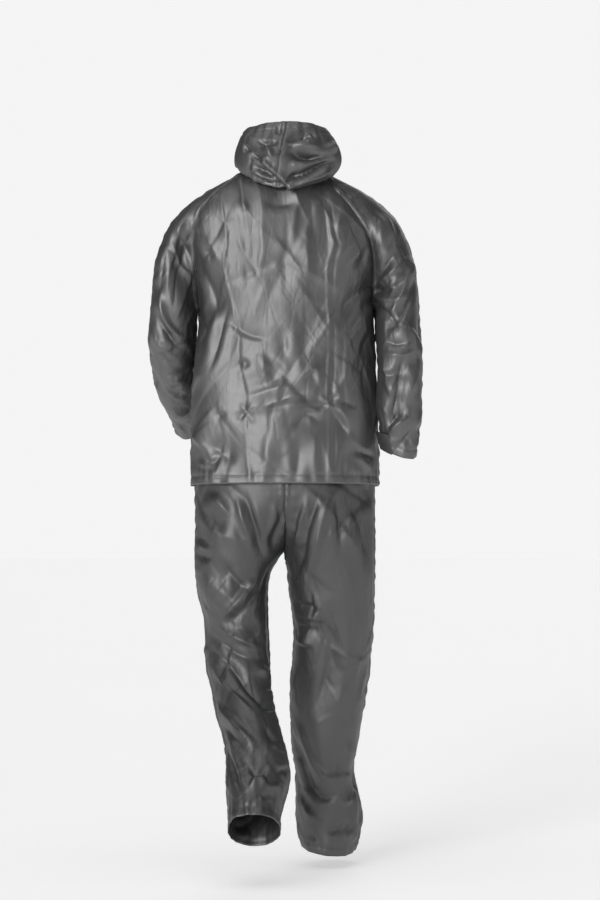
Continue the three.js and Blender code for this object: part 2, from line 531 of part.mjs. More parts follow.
// Draws the edges of a grid back from its seams by half of the gap.
function trimmed(rows, closed) {
  const height = rows.length;
  const width = rows[0].length;
  const toward = (p, q) => q.clone().sub(p).normalize().multiplyScalar(SEAM_GAP / 2);
  return rows.map((row, i) =>
    row.map((p, j) => {
      const moved = p.clone();
      if (i === 0) moved.add(toward(p, rows[1][j]));
      if (i === height - 1) moved.add(toward(p, rows[i - 1][j]));
      if (!closed && j === 0) moved.add(toward(p, row[1]));
      if (!closed && j === width - 1) moved.add(toward(p, row[j - 1]));
      return moved;
    }),
  );
}

// The walls of panels that are sewn together, as { name, geometry }. A seam is mitred between its
// panels, but where the body and a sleeve turn back on each other, under the arm, each ends square.
function walls(panels) {
  const shared = sewnNormals(panels);
  const partOf = (name) => name.split("_")[0];
  return panels.map(({ name, rows, closed }) => {
    const own = sewnNormals(panels.filter((panel) => partOf(panel.name) === partOf(name)));
    const through = (p) => (own(p).dot(shared(p)) < MITRE_LIMIT ? own(p) : shared(p));
    const inner = rows.map((row) => row.map((p) => p.clone().addScaledVector(through(p), -CLOTH)));
    return { name, geometry: solidBetween(trimmed(rows, closed), trimmed(inner, closed), closed) };
  });
}

// A tab that lies on part of a panel, made from the panel's own points moved out. It is sewn down at
// one side and stands off at the other, which is the last column, or the first where reversed.
function tabOn(panel, normal, rowRange, columnRange, reversed) {
  const [low, high] = rowRange;
  const [first, final] = columnRange;
  const taken = panel.rows.slice(low, high + 1).map((row) => row.slice(first, final + 1));
  const last = final - first;
  const share = (j) => (reversed ? last - j : j) / last;
  const lift = (j) => SEAM_GAP + CUFF_TAB.endLift * share(j) ** 2;
  const moved = (wall) =>
    taken.map((row) => row.map((p, j) => p.clone().addScaledVector(normal(p), lift(j) + wall)));
  return solidBetween(moved(CUFF_TAB.wall), moved(0), false);
}

// A Manifold made from a three.js geometry, and the other way round.
function toManifold(geometry) {
  const merged = mergeVertices(geometry.clone().deleteAttribute("normal").deleteAttribute("uv"));
  const mesh = new wasm.Mesh({
    numProp: 3,
    vertProperties: new Float32Array(merged.attributes.position.array),
    triVerts: new Uint32Array(merged.index.array),
  });
  return new wasm.Manifold(mesh);
}
function toGeometry(manifold) {
  const mesh = manifold.getMesh();
  const geometry = new THREE.BufferGeometry();
  geometry.setAttribute("position", new THREE.BufferAttribute(mesh.vertProperties, 3));
  geometry.setIndex(new THREE.BufferAttribute(mesh.triVerts, 1));
  return geometry;
}

// A box by its middle and its size.
const box = (size, at) => toManifold(new THREE.BoxGeometry(...size).translate(...at));

// The slider about its own middle: X across the zip, Z up it and -Y out of it.
function sliderShape() {
  const outline = new THREE.Shape();
  const half = SLIDER.length / 2;
  outline.moveTo(-SLIDER.waist / 2, -half);
  outline.lineTo(SLIDER.waist / 2, -half);
  outline.lineTo(SLIDER.width / 2, half / 3);
  outline.lineTo(SLIDER.width / 2, half);
  outline.lineTo(-SLIDER.width / 2, half);
  outline.lineTo(-SLIDER.width / 2, half / 3);
  const plate = new THREE.ExtrudeGeometry(outline, { depth: SLIDER.height, bevelEnabled: false });
  plate.rotateX(Math.PI / 2);
  const earX = (EAR.gap + EAR.width) / 2;
  const earSize = [EAR.width, EAR.height + SLIDER.height / 2, EAR.length];
  const earY = -(SLIDER.height / 2 + earSize[1] / 2);
  const pin = new THREE.CylinderGeometry(PIN.radius, PIN.radius, EAR.gap + EAR.width, PIN.sides);
  pin.rotateZ(Math.PI / 2).translate(0, -(SLIDER.height + PIN.up), 0);
  const ears = box(earSize, [earX, earY, 0]).add(box(earSize, [-earX, earY, 0]));
  return toManifold(plate).add(ears).add(toManifold(pin));
}

// The pull tab about the pin's axis, hanging down.
function pullShape() {
  const round = (radius, length) =>
    new THREE.CylinderGeometry(radius, radius, length, PIN.sides).rotateZ(Math.PI / 2);
  const eye = round(PULL.eye, PULL.neck);
  const hole = round(PULL.hole, 2 * PULL.neck);
  const neckLength = PULL.shoulder + PULL.width / 2;
  const neck = box([PULL.neck, PULL.thick, neckLength], [0, 0, -neckLength / 2]);
  const outline = new THREE.Shape();
  const half = PULL.width / 2;
  outline.moveTo(-PULL.neck / 2, -PULL.shoulder);
  outline.lineTo(-half, -PULL.shoulder - half);
  outline.lineTo(-half, -PULL.length + half);
  outline.absarc(0, -PULL.length + half, half, Math.PI, 2 * Math.PI);
  outline.lineTo(half, -PULL.shoulder - half);
  outline.lineTo(PULL.neck / 2, -PULL.shoulder);
  const slot = new THREE.Path().absarc(0, -PULL.length + half, PULL.slot, 0, 2 * Math.PI);
  outline.holes.push(slot);
  const cut = { depth: PULL.thick, bevelEnabled: false, curveSegments: PIN.sides / 2 };
  const plate = new THREE.ExtrudeGeometry(outline, cut);
  plate.rotateX(Math.PI / 2).translate(0, PULL.thick / 2, 0);
  return toManifold(eye).add(neck).subtract(toManifold(hole)).add(toManifold(plate));
}

const finishes = {
  shell: new THREE.MeshStandardMaterial({ color: 0x5b5d60, roughness: 0.4, metalness: 0 }),
  tape: new THREE.MeshStandardMaterial({ color: 0x303133, roughness: 0.7, metalness: 0 }),
  metal: new THREE.MeshStandardMaterial({ color: 0x55575a, roughness: 0.3, metalness: 0.9 }),
};

const suit = new THREE.Group();
suit.position.z = -NAPE_HEIGHT;

function add(name, geometry, finish) {
  const mesh = new THREE.Mesh(geometry, finish.clone());
  mesh.name = name;
  suit.add(mesh);
  return mesh;
}

// The back and front half of a sleeve, which meet over the arm and under it.
function sleeveHalves({ name, rows }) {
  const under = rows[0].length / 2;
  const first = rows.map((row) => row.slice(0, under + 1));
  const second = rows.map((row) => [...row.slice(under), row[0]]);
  const [back, front] = name === "sleeve_left" ? [first, second] : [second, first];
  return [
    { name: `${name}_back`, rows: back, closed: false },
    { name: `${name}_front`, rows: front, closed: false },
  ];
}

// The jacket and its hood.
function jacketPanels() {
  const back = { name: "jacket_back", rows: backPanel(), closed: false };
  const frontLeft = { name: "jacket_front_left", rows: frontPanel(1), closed: false };
  const frontRight = { name: "jacket_front_right", rows: frontPanel(-1), closed: false };
  const sleeveLeft = { name: "sleeve_left", rows: sleeve(1), closed: true };
  const sleeveRight = { name: "sleeve_right", rows: sleeve(-1), closed: true };
  const sewn = [back, frontLeft, frontRight, sleeveLeft, sleeveRight];
  const pressed = pressFolds(sewn, FOLDS.jacket);
  const top = (panel) => panel.rows[panel.rows.length - 1];
  const [backTop, leftTop, rightTop, leftArm, rightArm] = pressed.map(top);
  const middle = STEPS.across;
  const neckLeft = [...leftTop, leftArm[0], ...backTop.slice(0, middle + 1)];
  const neckRight = [...backTop.slice(middle), rightArm[0], ...rightTop];
  const hood = pressFolds(
    [
      { name: "hood_left", rows: hoodHalf(1, neckLeft), closed: false },
      { name: "hood_right", rows: hoodHalf(-1, neckRight), closed: false },
    ],
    FOLDS.hood,
  );
  const body = pressed.filter((panel) => !panel.closed);
  const sleeves = pressed.filter((panel) => panel.closed);
  return [...body, ...sleeves.flatMap(sleeveHalves), ...hood];
}

// One half of the zip: a tape that follows the edge of a front and then the front edge of the hood.
function zipTape(side, front, hood) {
  const edge = (panel) => panel.rows.map((row) => (side > 0 ? row[0] : row[row.length - 1]));
  const outer = [...edge(front), ...edge(hood).slice(1)];
  return outer.map((p) => {
    const middle = point(0, p.y - ZIP_FORWARD, p.z);
    const columns = [middle, p.clone().lerp(middle, 0.5), p];
    return side > 0 ? columns : columns.reverse();
  });
}

const jacket = jacketPanels();
const named = (name) => jacket.find((panel) => panel.name === name);
jacket.push(
  {
    name: "zip_tape_left",
    rows: zipTape(1, named("jacket_front_left"), named("hood_left")),
    closed: false,
  },
  {
    name: "zip_tape_right",
    rows: zipTape(-1, named("jacket_front_right"), named("hood_right")),
    closed: false,
  },
);
for (const { name, geometry } of walls(jacket)) {
  add(name, geometry, name.startsWith("zip") ? finishes.tape : finishes.shell);
}

// The tabs on the cuffs.
const jacketNormal = sewnNormals(jacket);
for (const side of ["left", "right"]) {
  const reversed = side === "right";
  const mirrored = CUFF_TAB.columns.map((column) => STEPS.yoke + 1 - column).reverse();
  const columns = reversed ? mirrored : CUFF_TAB.columns;
  const tab = tabOn(named(`sleeve_${side}_back`), jacketNormal, CUFF_TAB.rows, columns, reversed);
  add(`cuff_tab_${side}`, tab, finishes.shell);
}

// The slider at the top of the zip, just off its tape, with its pull tab.
const closedEnd = named("zip_tape_left").rows[STEPS.body + STEPS.yoke + SLIDER.row][0];
const sliderY = closedEnd.y - SEAM_GAP;
add("zip_slider", toGeometry(sliderShape()).translate(0, sliderY, closedEnd.z), finishes.metal);
const pinY = sliderY - SLIDER.height - PIN.up;
add("zip_pull", toGeometry(pullShape()).translate(0, pinY, closedEnd.z), finishes.metal);

// The trousers.
const trousers = pressFolds(
  [
    { name: "trouser_left_back", rows: legPanel(1, 1), closed: false },
    { name: "trouser_left_front", rows: legPanel(1, -1), closed: false },
    { name: "trouser_right_back", rows: legPanel(-1, 1), closed: false },
    { name: "trouser_right_front", rows: legPanel(-1, -1), closed: false },
  ],
  FOLDS.trousers,
);
for (const { name, geometry } of walls(trousers)) add(name, geometry, finishes.shell);
const waistband = { name: "waistband", rows: waistbandPanel(), closed: true };
for (const { name, geometry } of walls([waistband])) add(name, geometry, finishes.shell);

export default suit;
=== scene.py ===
import bpy
import json
import math
import numpy as np
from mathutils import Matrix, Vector, kdtree, noise

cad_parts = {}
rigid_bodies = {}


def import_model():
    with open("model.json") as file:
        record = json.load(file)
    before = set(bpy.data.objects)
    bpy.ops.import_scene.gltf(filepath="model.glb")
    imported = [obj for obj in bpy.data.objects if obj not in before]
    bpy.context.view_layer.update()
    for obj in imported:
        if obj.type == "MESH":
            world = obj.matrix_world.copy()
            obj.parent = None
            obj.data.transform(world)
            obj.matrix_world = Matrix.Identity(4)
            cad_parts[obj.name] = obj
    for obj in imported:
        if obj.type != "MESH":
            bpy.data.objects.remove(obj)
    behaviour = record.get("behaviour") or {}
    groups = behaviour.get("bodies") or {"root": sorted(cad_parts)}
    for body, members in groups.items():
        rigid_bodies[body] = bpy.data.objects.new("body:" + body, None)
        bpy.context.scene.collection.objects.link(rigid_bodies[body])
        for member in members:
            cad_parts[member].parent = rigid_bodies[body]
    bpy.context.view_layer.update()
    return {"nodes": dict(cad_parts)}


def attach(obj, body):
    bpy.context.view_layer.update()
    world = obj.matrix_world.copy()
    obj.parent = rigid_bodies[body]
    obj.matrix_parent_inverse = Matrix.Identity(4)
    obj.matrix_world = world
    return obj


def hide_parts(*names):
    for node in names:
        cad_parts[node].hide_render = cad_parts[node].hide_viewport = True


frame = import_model()
nodes = frame["nodes"]
print(len(nodes), "solids in the frame")

# %% [markdown]
# The suit is seen from behind, so its back folds are placed as they look from there, in the plane
# through the nape. This is the camera's place, in metres from the nape.
# %%
CAMERA = (-0.033, 7.0, -0.62)


def seen(points):
    """Each point as the camera sees it: metres to the wearer's left and up from the nape."""
    scale = CAMERA[1] / (CAMERA[1] - points[:, 1])
    return np.stack([(points[:, i] - CAMERA[i]) * scale + CAMERA[i] for i in (0, 2)], 1)


print("a point 0.3 m nearer looks", round(CAMERA[1] / (CAMERA[1] - 0.3), 3), "times as large")

# %% [markdown]
# A panel starts as a copy of its solid. Only its outer face is kept, as one sheet of four-sided cells.
# The edge of that face is where the wall turns sharply, so faces that meet at a flat angle stay joined.
# %%
SHARP = math.radians(58)
MERGE = 2e-5


def sheets_of(mesh):
    """The mesh's faces in groups, each joined without a sharp turn."""
    owner = {}
    for p in mesh.polygons:
        for edge in p.edge_keys:
            owner.setdefault(edge, []).append(p)
    joined = {p.index: [] for p in mesh.polygons}
    for pair in owner.values():
        if len(pair) == 2 and pair[0].normal.angle(pair[1].normal) < SHARP:
            joined[pair[0].index].append(pair[1].index)
            joined[pair[1].index].append(pair[0].index)
    sheets, left = [], set(joined)
    while left:
        sheet, edge = set(), [left.pop()]
        while edge:
            face = edge.pop()
            sheet.add(face)
            new = [other for other in joined[face] if other in left]
            left.difference_update(new)
            edge.extend(new)
        sheets.append(sheet)
    return sheets


def keep_outer_face(piece, outward):
    """Of the two largest sheets, leaves the one that reaches furthest outward."""
    mesh = piece.data
    large = sorted(sheets_of(mesh), key=lambda sheet: sum(mesh.polygons[f].area for f in sheet))[-2:]
    kept = max(large, key=lambda sheet: max(mesh.polygons[f].center.dot(outward) for f in sheet))
    bpy.context.tool_settings.mesh_select_mode = (False, False, True)
    for p in mesh.polygons:
        p.select = p.index not in kept
    bpy.ops.object.mode_set(mode="EDIT")
    bpy.ops.mesh.delete(type="FACE")
    bpy.ops.object.mode_set(mode="OBJECT")


# %% [markdown]
# The real panel is cut flat. Unwrapping the sheet finds that flat shape again, so the weave can follow
# the cut. The map is scaled to metres.
# %%
def lay_flat(piece):
    """Gives the sheet a map of its flat cut, in metres."""
    bpy.ops.object.mode_set(mode="EDIT")
    bpy.ops.mesh.select_all(action="SELECT")
    bpy.ops.uv.unwrap(method="ANGLE_BASED", margin=0)
    bpy.ops.object.mode_set(mode="OBJECT")
    mesh = piece.data
    cut = mesh.uv_layers.active
    cut.name = "cut"
    flat = np.empty(2 * len(mesh.loops))
    cut.data.foreach_get("uv", flat)
    flat = flat.reshape(-1, 2)
    area = 0
    for p in mesh.polygons:
        corner = flat[p.loop_start:p.loop_start + p.loop_total]
        nxt = np.roll(corner, -1, axis=0)
        area += abs(np.sum(corner[:, 0] * nxt[:, 1] - nxt[:, 0] * corner[:, 1])) / 2
    worn = sum(p.area for p in mesh.polygons)
    cut.data.foreach_set("uv", (flat * math.sqrt(worn / area)).ravel())
    return worn


def copy_solid(name, node):
    """A plain copy of a solid, with its corners joined."""
    bpy.ops.object.select_all(action="DESELECT")
    nodes[node].select_set(True)
    bpy.context.view_layer.objects.active = nodes[node]
    bpy.ops.object.duplicate()
    piece = bpy.context.view_layer.objects.active
    bpy.ops.object.parent_clear(type="CLEAR")
    piece.name = piece.data.name = name
    for key in list(piece.keys()):
        if key.startswith("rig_"):
            del piece[key]
    piece.data.materials.clear()
    bpy.ops.object.mode_set(mode="EDIT")
    bpy.ops.mesh.select_all(action="SELECT")
    bpy.ops.mesh.remove_doubles(threshold=MERGE)
    bpy.ops.object.mode_set(mode="OBJECT")
    return piece


def join_cells(piece):
    """Joins the triangles of the piece in pairs, as the cells that they were cut from."""
    bpy.ops.object.mode_set(mode="EDIT")
    bpy.ops.mesh.select_all(action="SELECT")
    bpy.ops.mesh.tris_convert_to_quads(face_threshold=math.pi, shape_threshold=math.pi, topology_influence=2)
    bpy.ops.object.mode_set(mode="OBJECT")


def start_sheet(name, node, outward):
    """A new sheet on the outer face of a solid."""
    piece = copy_solid(name, node)
    keep_outer_face(piece, Vector(outward))
    join_cells(piece)
    print(name, "is", round(lay_flat(piece), 3), "square metres in", len(piece.data.polygons), "cells")
    return piece


# %% [markdown]
# Each row names a panel's solid and the side that its outer face looks to. The sheets are divided to
# cells under 4 mm, which is fine enough for the crisp creases of thin cloth. The casing round the waist
# and the zip tapes have no creases, so they need fewer.
# %%
PANELS = {
    "back": ("jacket_back", (0, 1, 0)),
    "front_left": ("jacket_front_left", (0, -1, 0)),
    "front_right": ("jacket_front_right", (0, -1, 0)),
    "raglan_left_back": ("sleeve_left_back", (0, 1, 0)),
    "raglan_left_front": ("sleeve_left_front", (0, -1, 0)),
    "raglan_right_back": ("sleeve_right_back", (0, 1, 0)),
    "raglan_right_front": ("sleeve_right_front", (0, -1, 0)),
    "hood_half_left": ("hood_left", (0, 1, 0)),
    "hood_half_right": ("hood_right", (0, 1, 0)),
    "leg_left_back": ("trouser_left_back", (0, 1, 0)),
    "leg_left_front": ("trouser_left_front", (0, -1, 0)),
    "leg_right_back": ("trouser_right_back", (0, 1, 0)),
    "leg_right_front": ("trouser_right_front", (0, -1, 0)),
    "waist_casing": ("waistband", (1, 0, 0)),
    "tape_left": ("zip_tape_left", (0, -1, 0)),
    "tape_right": ("zip_tape_right", (0, -1, 0)),
}
LEVELS, PLAIN_LEVELS = 3, 2
PLAIN = {"waist_casing", "tape_left", "tape_right"}


def divide(piece, levels):
    """Halves the sheet's cells that many times, on the smooth surface through them."""
    bpy.context.view_layer.objects.active = piece
    smooth = piece.modifiers.new("fine cells", "SUBSURF")
    smooth.levels = smooth.render_levels = levels
    smooth.boundary_smooth = "PRESERVE_CORNERS"
    bpy.ops.object.modifier_apply(modifier=smooth.name)


cloth = {}
for name, (node, outward) in PANELS.items():
    cloth[name] = start_sheet(name, node, outward)
    divide(cloth[name], PLAIN_LEVELS if name in PLAIN else LEVELS)
print(sum(len(piece.data.polygons) for piece in cloth.values()), "cells in all")

# %% [markdown]
# The folds were measured on the worn suit. A row is one fold: how wide it is and how far it
# lifts the cloth, or sinks it, in millimetres, and its path, as seen from behind, in millimetres to the
# wearer's left and up from the nape. A fold dies away at both ends, or at its end alone where its row
# says so. The hidden front has folds of the same kinds, where such a stride would put them.
# %%
END = "dies at its end alone"
# The back: creases from packing, then the folds of the stride
BACK_FOLDS = [
    (4, 1.5, [(139, -51), (136, -99), (128, -156), (132, -229), (103, -354), (99, -422),
        (88, -488), (86, -539), (84, -616), (77, -671), (64, -704)]),
    (4, 1.5, [(-86, -57), (-99, -145), (-106, -161), (-92, -220), (-95, -288), (-95, -521),
        (-95, -704)]),
    (4, -1.3, [(-101, -70), (-112, -150), (-119, -165), (-106, -224), (-108, -290), (-108, -521),
        (-108, -704)]),
    (4, 0.9, [(123, -537), (44, -528), (-33, -521), (-114, -515)]),
    (5, -2.5, [(158, -541), (141, -541), (123, -537)]),
    (5, -3, [(-114, -510), (-136, -519), (-161, -528)]),
    (5, 2, END, [(86, -539), (103, -517)]),
    (5, -2, END, [(86, -539), (64, -517)]),
    (5, -2, END, [(86, -539), (106, -557)]),
    (5, 2, END, [(86, -539), (66, -565)]),
    (5, 2, END, [(-95, -521), (-73, -499)]),
    (5, -2.5, END, [(-97, -521), (-123, -497)]),
    (5, -2.5, END, [(-95, -521), (-66, -535)]),
    (5, 2, END, [(-95, -521), (-125, -543)]),
    (5, 2, END, [(-95, -521), (-79, -552)]),
    (9, -4, END, [(103, -354), (73, -370), (33, -374)]),
    (8, -4, [(99, -418), (77, -438)]),
    (13, 6, [(139, -268), (169, -389), (200, -499)]),
    (11, -6, [(121, -290), (145, -378), (172, -462)]),
    (18, -7, [(88, -537), (15, -515), (-59, -484)]),
    (14, 4, [(99, -506), (22, -484), (-33, -466)]),
    (8, 4.5, [(-26, -473), (-64, -440), (-84, -488)]),
    (8, -5.5, [(-11, -581), (-33, -550), (-55, -539), (-81, -561)]),
    (15, -4, [(-2, -165), (2, -290)]),
    (13, -4.5, [(4, -339), (-4, -427)]),
    (14, 3.5, [(59, -81), (51, -180), (73, -273)]),
    (14, 4, [(-44, -103), (-53, -207), (-40, -290)]),
    (9, 5, [(209, -572), (187, -603), (158, -631)]),
    (7, -5, [(183, -620), (163, -647), (134, -625)]),
    (15, -6, [(174, -601), (108, -651)]),
    (10, -4.5, [(176, -678), (119, -689)]),
    (8, 4, [(196, -647), (152, -664)]),
    (9, -5, [(-97, -526), (-119, -554), (-145, -592)]),
    (8, 3.5, [(-112, -519), (-147, -572)]),
    (8, -6, [(-145, -603), (-169, -625), (-202, -640)]),
    (11, 4.5, [(-147, -625), (-196, -673)]),
    (9, 4, [(176, -141), (156, -180), (134, -220)]),
    (8, -4, [(180, -172), (152, -207)]),
    (9, 4, [(-183, -158), (-156, -194), (-128, -220)]),
    (9, -4.5, [(-189, -185), (-147, -229)]),
    (12, -6, END, [(-198, -255), (-147, -290), (-114, -348)]),
    (12, 5, END, [(-200, -286), (-158, -345), (-136, -405)]),
    (12, -5, [(-198, -330), (-169, -405), (-156, -493)]),
    (12, -5, END, [(194, -220), (163, -268), (143, -339)]),
    (10, 4, [(196, -290), (187, -389), (196, -449)]),
    (16, -3.5, [(-46, -290), (-40, -389), (-46, -466)]),
    (14, 4.5, [(-132, -301), (-134, -411), (-128, -506)]),
    (11, -4.5, [(-176, -356), (-174, -466), (-178, -537)]),
    (14, 4, [(51, -389), (42, -488)]),
    (12, 4, [(44, -572), (37, -686)]),
    (10, -3, [(9, -590), (2, -700)]),
    (12, -4.5, [(-31, -576), (-24, -695)]),
    (10, 3.5, [(-64, -568), (-70, -691)]),
    (11, -4.5, [(-136, -590), (-125, -702)]),
    (9, 3.5, [(-169, -647), (-161, -704)]),
    (12, -4, [(125, -576), (130, -700)]),
    (9, 3.5, [(156, -656), (161, -704)]),
    (12, -4, [(51, -70), (20, -84), (-33, -77)]),
    (8, 3, [(103, -62), (77, -97)]),
    (8, 3, [(-121, -97), (-110, -141)]),
]
# The left sleeve, bent at the elbow
SLEEVE_LEFT_FOLDS = [
    (11, -7, [(246, -132), (222, -172), (194, -216)]),
    (9, 5, [(257, -154), (231, -207), (205, -251)]),
    (10, 10, [(279, -260), (264, -326), (238, -365), (205, -376)]),
    (10, -10, [(286, -295), (268, -352), (244, -389), (209, -396)]),
    (9, 4, [(209, -81), (240, -158), (262, -290)]),
    (8, -4, [(194, -101), (222, -185), (249, -317)]),
    (8, 4, [(187, -158), (218, -268), (240, -345)]),
    (8, -3.5, [(262, -176), (282, -290)]),
    (9, 5, [(297, -334), (275, -389), (227, -422)]),
    (8, -5, [(290, -389), (262, -431), (209, -449)]),
    (8, 4.5, [(279, -449), (249, -466), (205, -466)]),
    (8, -4, [(271, -484), (240, -502), (205, -502)]),
    (7, 4, [(262, -519), (235, -537), (205, -532)]),
    (6, -3, [(249, -554), (222, -572), (200, -568)]),
    (8, 3, [(176, -62), (196, -119)]),
    (9, -3, [(218, -62), (249, -119)]),
]
# The right sleeve, hanging, with folds that fan out from under the arm
SLEEVE_RIGHT_FOLDS = [
    (9, -6, END, [(-196, -255), (-222, -216), (-251, -172)]),
    (9, 6, END, [(-196, -260), (-233, -233), (-271, -194)]),
    (8, -5.5, END, [(-198, -268), (-240, -260), (-282, -229)]),
    (9, 5, END, [(-198, -282), (-242, -290), (-284, -273)]),
    (9, -5, END, [(-200, -295), (-235, -326), (-257, -365)]),
    (9, 6, [(-295, -176), (-257, -268), (-222, -348)]),
    (8, -5, [(-299, -220), (-271, -295), (-244, -356)]),
    (8, -7, [(-207, -372), (-244, -387), (-284, -381)]),
    (8, 6, [(-209, -396), (-249, -409), (-293, -400)]),
    (9, 6, [(-222, -403), (-224, -462), (-235, -513)]),
    (8, -6, [(-202, -447), (-235, -453), (-257, -431)]),
    (11, -8, [(-268, -385), (-253, -450), (-244, -506), (-222, -572)]),
    (10, 6, [(-293, -420), (-279, -480), (-262, -530)]),
    (6, -7, [(-220, -579), (-244, -550), (-270, -528)]),
    (6, 6, [(-224, -596), (-246, -563), (-281, -541)]),
    (7, -4, [(-290, -554), (-272, -590), (-240, -616)]),
    (9, 4, [(-147, -84), (-178, -128), (-191, -176)]),
    (9, -4, [(-183, -70), (-218, -119)]),
    (9, 4, [(-222, -97), (-244, -172)]),
    (9, -4, [(-249, -141), (-273, -207)]),
]
# The left leg, which is stretched back
LEG_LEFT_FOLDS = [
    (9, -8, [(-4, -708), (11, -779), (33, -854)]),
    (9, 5, [(18, -713), (29, -774), (51, -836)]),
    (11, -8, [(92, -702), (66, -788), (35, -880)]),
    (12, 6, [(112, -708), (90, -788), (64, -862)]),
    (13, 7, [(174, -711), (143, -737), (117, -774)]),
    (11, -5, [(189, -744), (158, -779), (134, -818)]),
    (8, 5.5, [(194, -814), (176, -836), (156, -849)]),
    (8, -5, [(194, -845), (169, -869)]),
    (12, -7, [(152, -854), (99, -915), (42, -946)]),
    (11, 10, [(46, -882), (99, -944), (161, -1005)]),
    (10, -7, [(37, -915), (81, -964), (139, -1012)]),
    (9, 8, [(158, -1003), (103, -1041), (48, -1060)]),
    (9, -7, [(174, -1021), (117, -1060), (55, -1091)]),
    (11, -9, [(174, -1049), (99, -1129), (20, -1201)]),
    (10, 6, [(178, -1078), (117, -1153), (51, -1214)]),
    (7, 4, [(73, -1100), (37, -1118)]),
    (6, 4.5, [(51, -1144), (24, -1157), (2, -1175)]),
    (6, -4.5, [(62, -1179), (33, -1190), (9, -1197)]),
    (9, 7, [(156, -1168), (103, -1234), (51, -1285)]),
    (8, -6, [(145, -1219), (103, -1267), (64, -1298)]),
    (8, -5, [(51, -1214), (29, -1250), (-11, -1272)]),
    (7, -7, [(92, -1302), (64, -1338), (33, -1311)]),
    (6, 6, [(90, -1373), (59, -1340), (31, -1375)]),
    (7, -8, [(132, -1267), (117, -1324), (95, -1382)]),
    (7, 5, [(117, -1272), (99, -1329), (81, -1382)]),
    (7, 4.5, [(33, -1263), (-9, -1296)]),
    (7, -4.5, [(24, -1329), (-13, -1320)]),
    (4, -2.5, [(77, -1388), (20, -1384)]),
    (7, 4, [(117, -1408), (99, -1448)]),
    (6, -3, [(90, -1399), (73, -1421)]),
    (6, 4, [(51, -1360), (7, -1360)]),
]
# The right leg, which stands in front
LEG_RIGHT_FOLDS = [
    (9, -6, [(-75, -706), (-48, -818), (-15, -933)]),
    (9, 5.5, [(-51, -706), (-31, -788), (-11, -862)]),
    (10, 5.5, [(-99, -711), (-64, -854), (-33, -959)]),
    (12, -7, [(-108, -706), (-119, -785), (-117, -867)]),
    (13, 4.5, [(-145, -713), (-152, -862)]),
    (12, -4, [(-176, -730), (-178, -906)]),
    (6, -5, [(-15, -955), (-46, -964), (-84, -979)]),
    (6, 4, [(-18, -977), (-51, -990), (-90, -999)]),
    (6, -4, [(-18, -1008), (-51, -1012), (-77, -1025)]),
    (6, 3.5, [(-22, -1038), (-68, -1054)]),
    (8, 4, [(-84, -946), (-62, -999), (-42, -1056)]),
    (14, -5.5, [(-112, -990), (-92, -1104), (-64, -1219)]),
    (14, 4.5, [(-143, -972), (-134, -1104), (-112, -1236)]),
    (12, -4, [(-176, -1038), (-161, -1170)]),
    (10, 4, [(-24, -1100), (-33, -1214)]),
    (9, -7, [(-15, -1232), (-40, -1327), (-81, -1393), (-134, -1368)]),
    (9, 5.5, [(-29, -1214), (-62, -1313), (-108, -1355)]),
    (11, 4.5, [(-132, -1254), (-141, -1335)]),
    (8, 4.5, [(-26, -1368), (-51, -1421), (-86, -1448)]),
    (7, -5, [(-88, -1463), (-119, -1459), (-147, -1437)]),
    (7, -4, [(-44, -1452), (-73, -1483)]),
    (8, 4, [(-121, -1404), (-156, -1390)]),
    (7, 3, [(-132, -1483), (-147, -1452)]),
]
# The hood, rolled over at its rim, with folds that run out from a knot low on its seam
HOOD_FOLDS = [
    (5, -7, [(73, 68), (44, 62), (4, 55)]),
    (5, -7, [(4, 55), (-40, 66), (-75, 75)]),
    (7, 8, END, [(9, -24), (26, -7), (46, 15), (70, 42)]),
    (7, -10, END, [(11, -26), (31, -13), (53, -2), (79, 13)]),
    (6, 7, END, [(13, -31), (42, -20), (70, -7), (88, 2)]),
    (5, -6, END, [(13, -33), (33, -31), (57, -24)]),
    (6, -7, [(44, 13), (66, 26), (79, 33)]),
    (9, 6, [(57, 51), (37, 37), (15, 7)]),
    (9, -12, [(-3, 44), (-40, 31), (-70, 26), (-99, 34)]),
    (8, 6, [(-9, 51), (-48, 48), (-84, 46)]),
    (8, 7, [(-4, 15), (-48, 13), (-101, 26)]),
    (5, -8, END, [(-9, -24), (-53, -7), (-84, 7), (-112, 22)]),
    (6, 7, END, [(-9, -33), (-57, -15), (-112, 7)]),
    (4, 6, [(9, -26), (-9, -22), (-12, -31)]),
    (6, 5, [(-99, 62), (-113, 33)]),
    (6, -5, [(31, 84), (-4, 77)]),
    (4, 4, [(-46, 79), (-64, 68)]),
    (6, -5, [(84, 55), (90, 33)]),
]
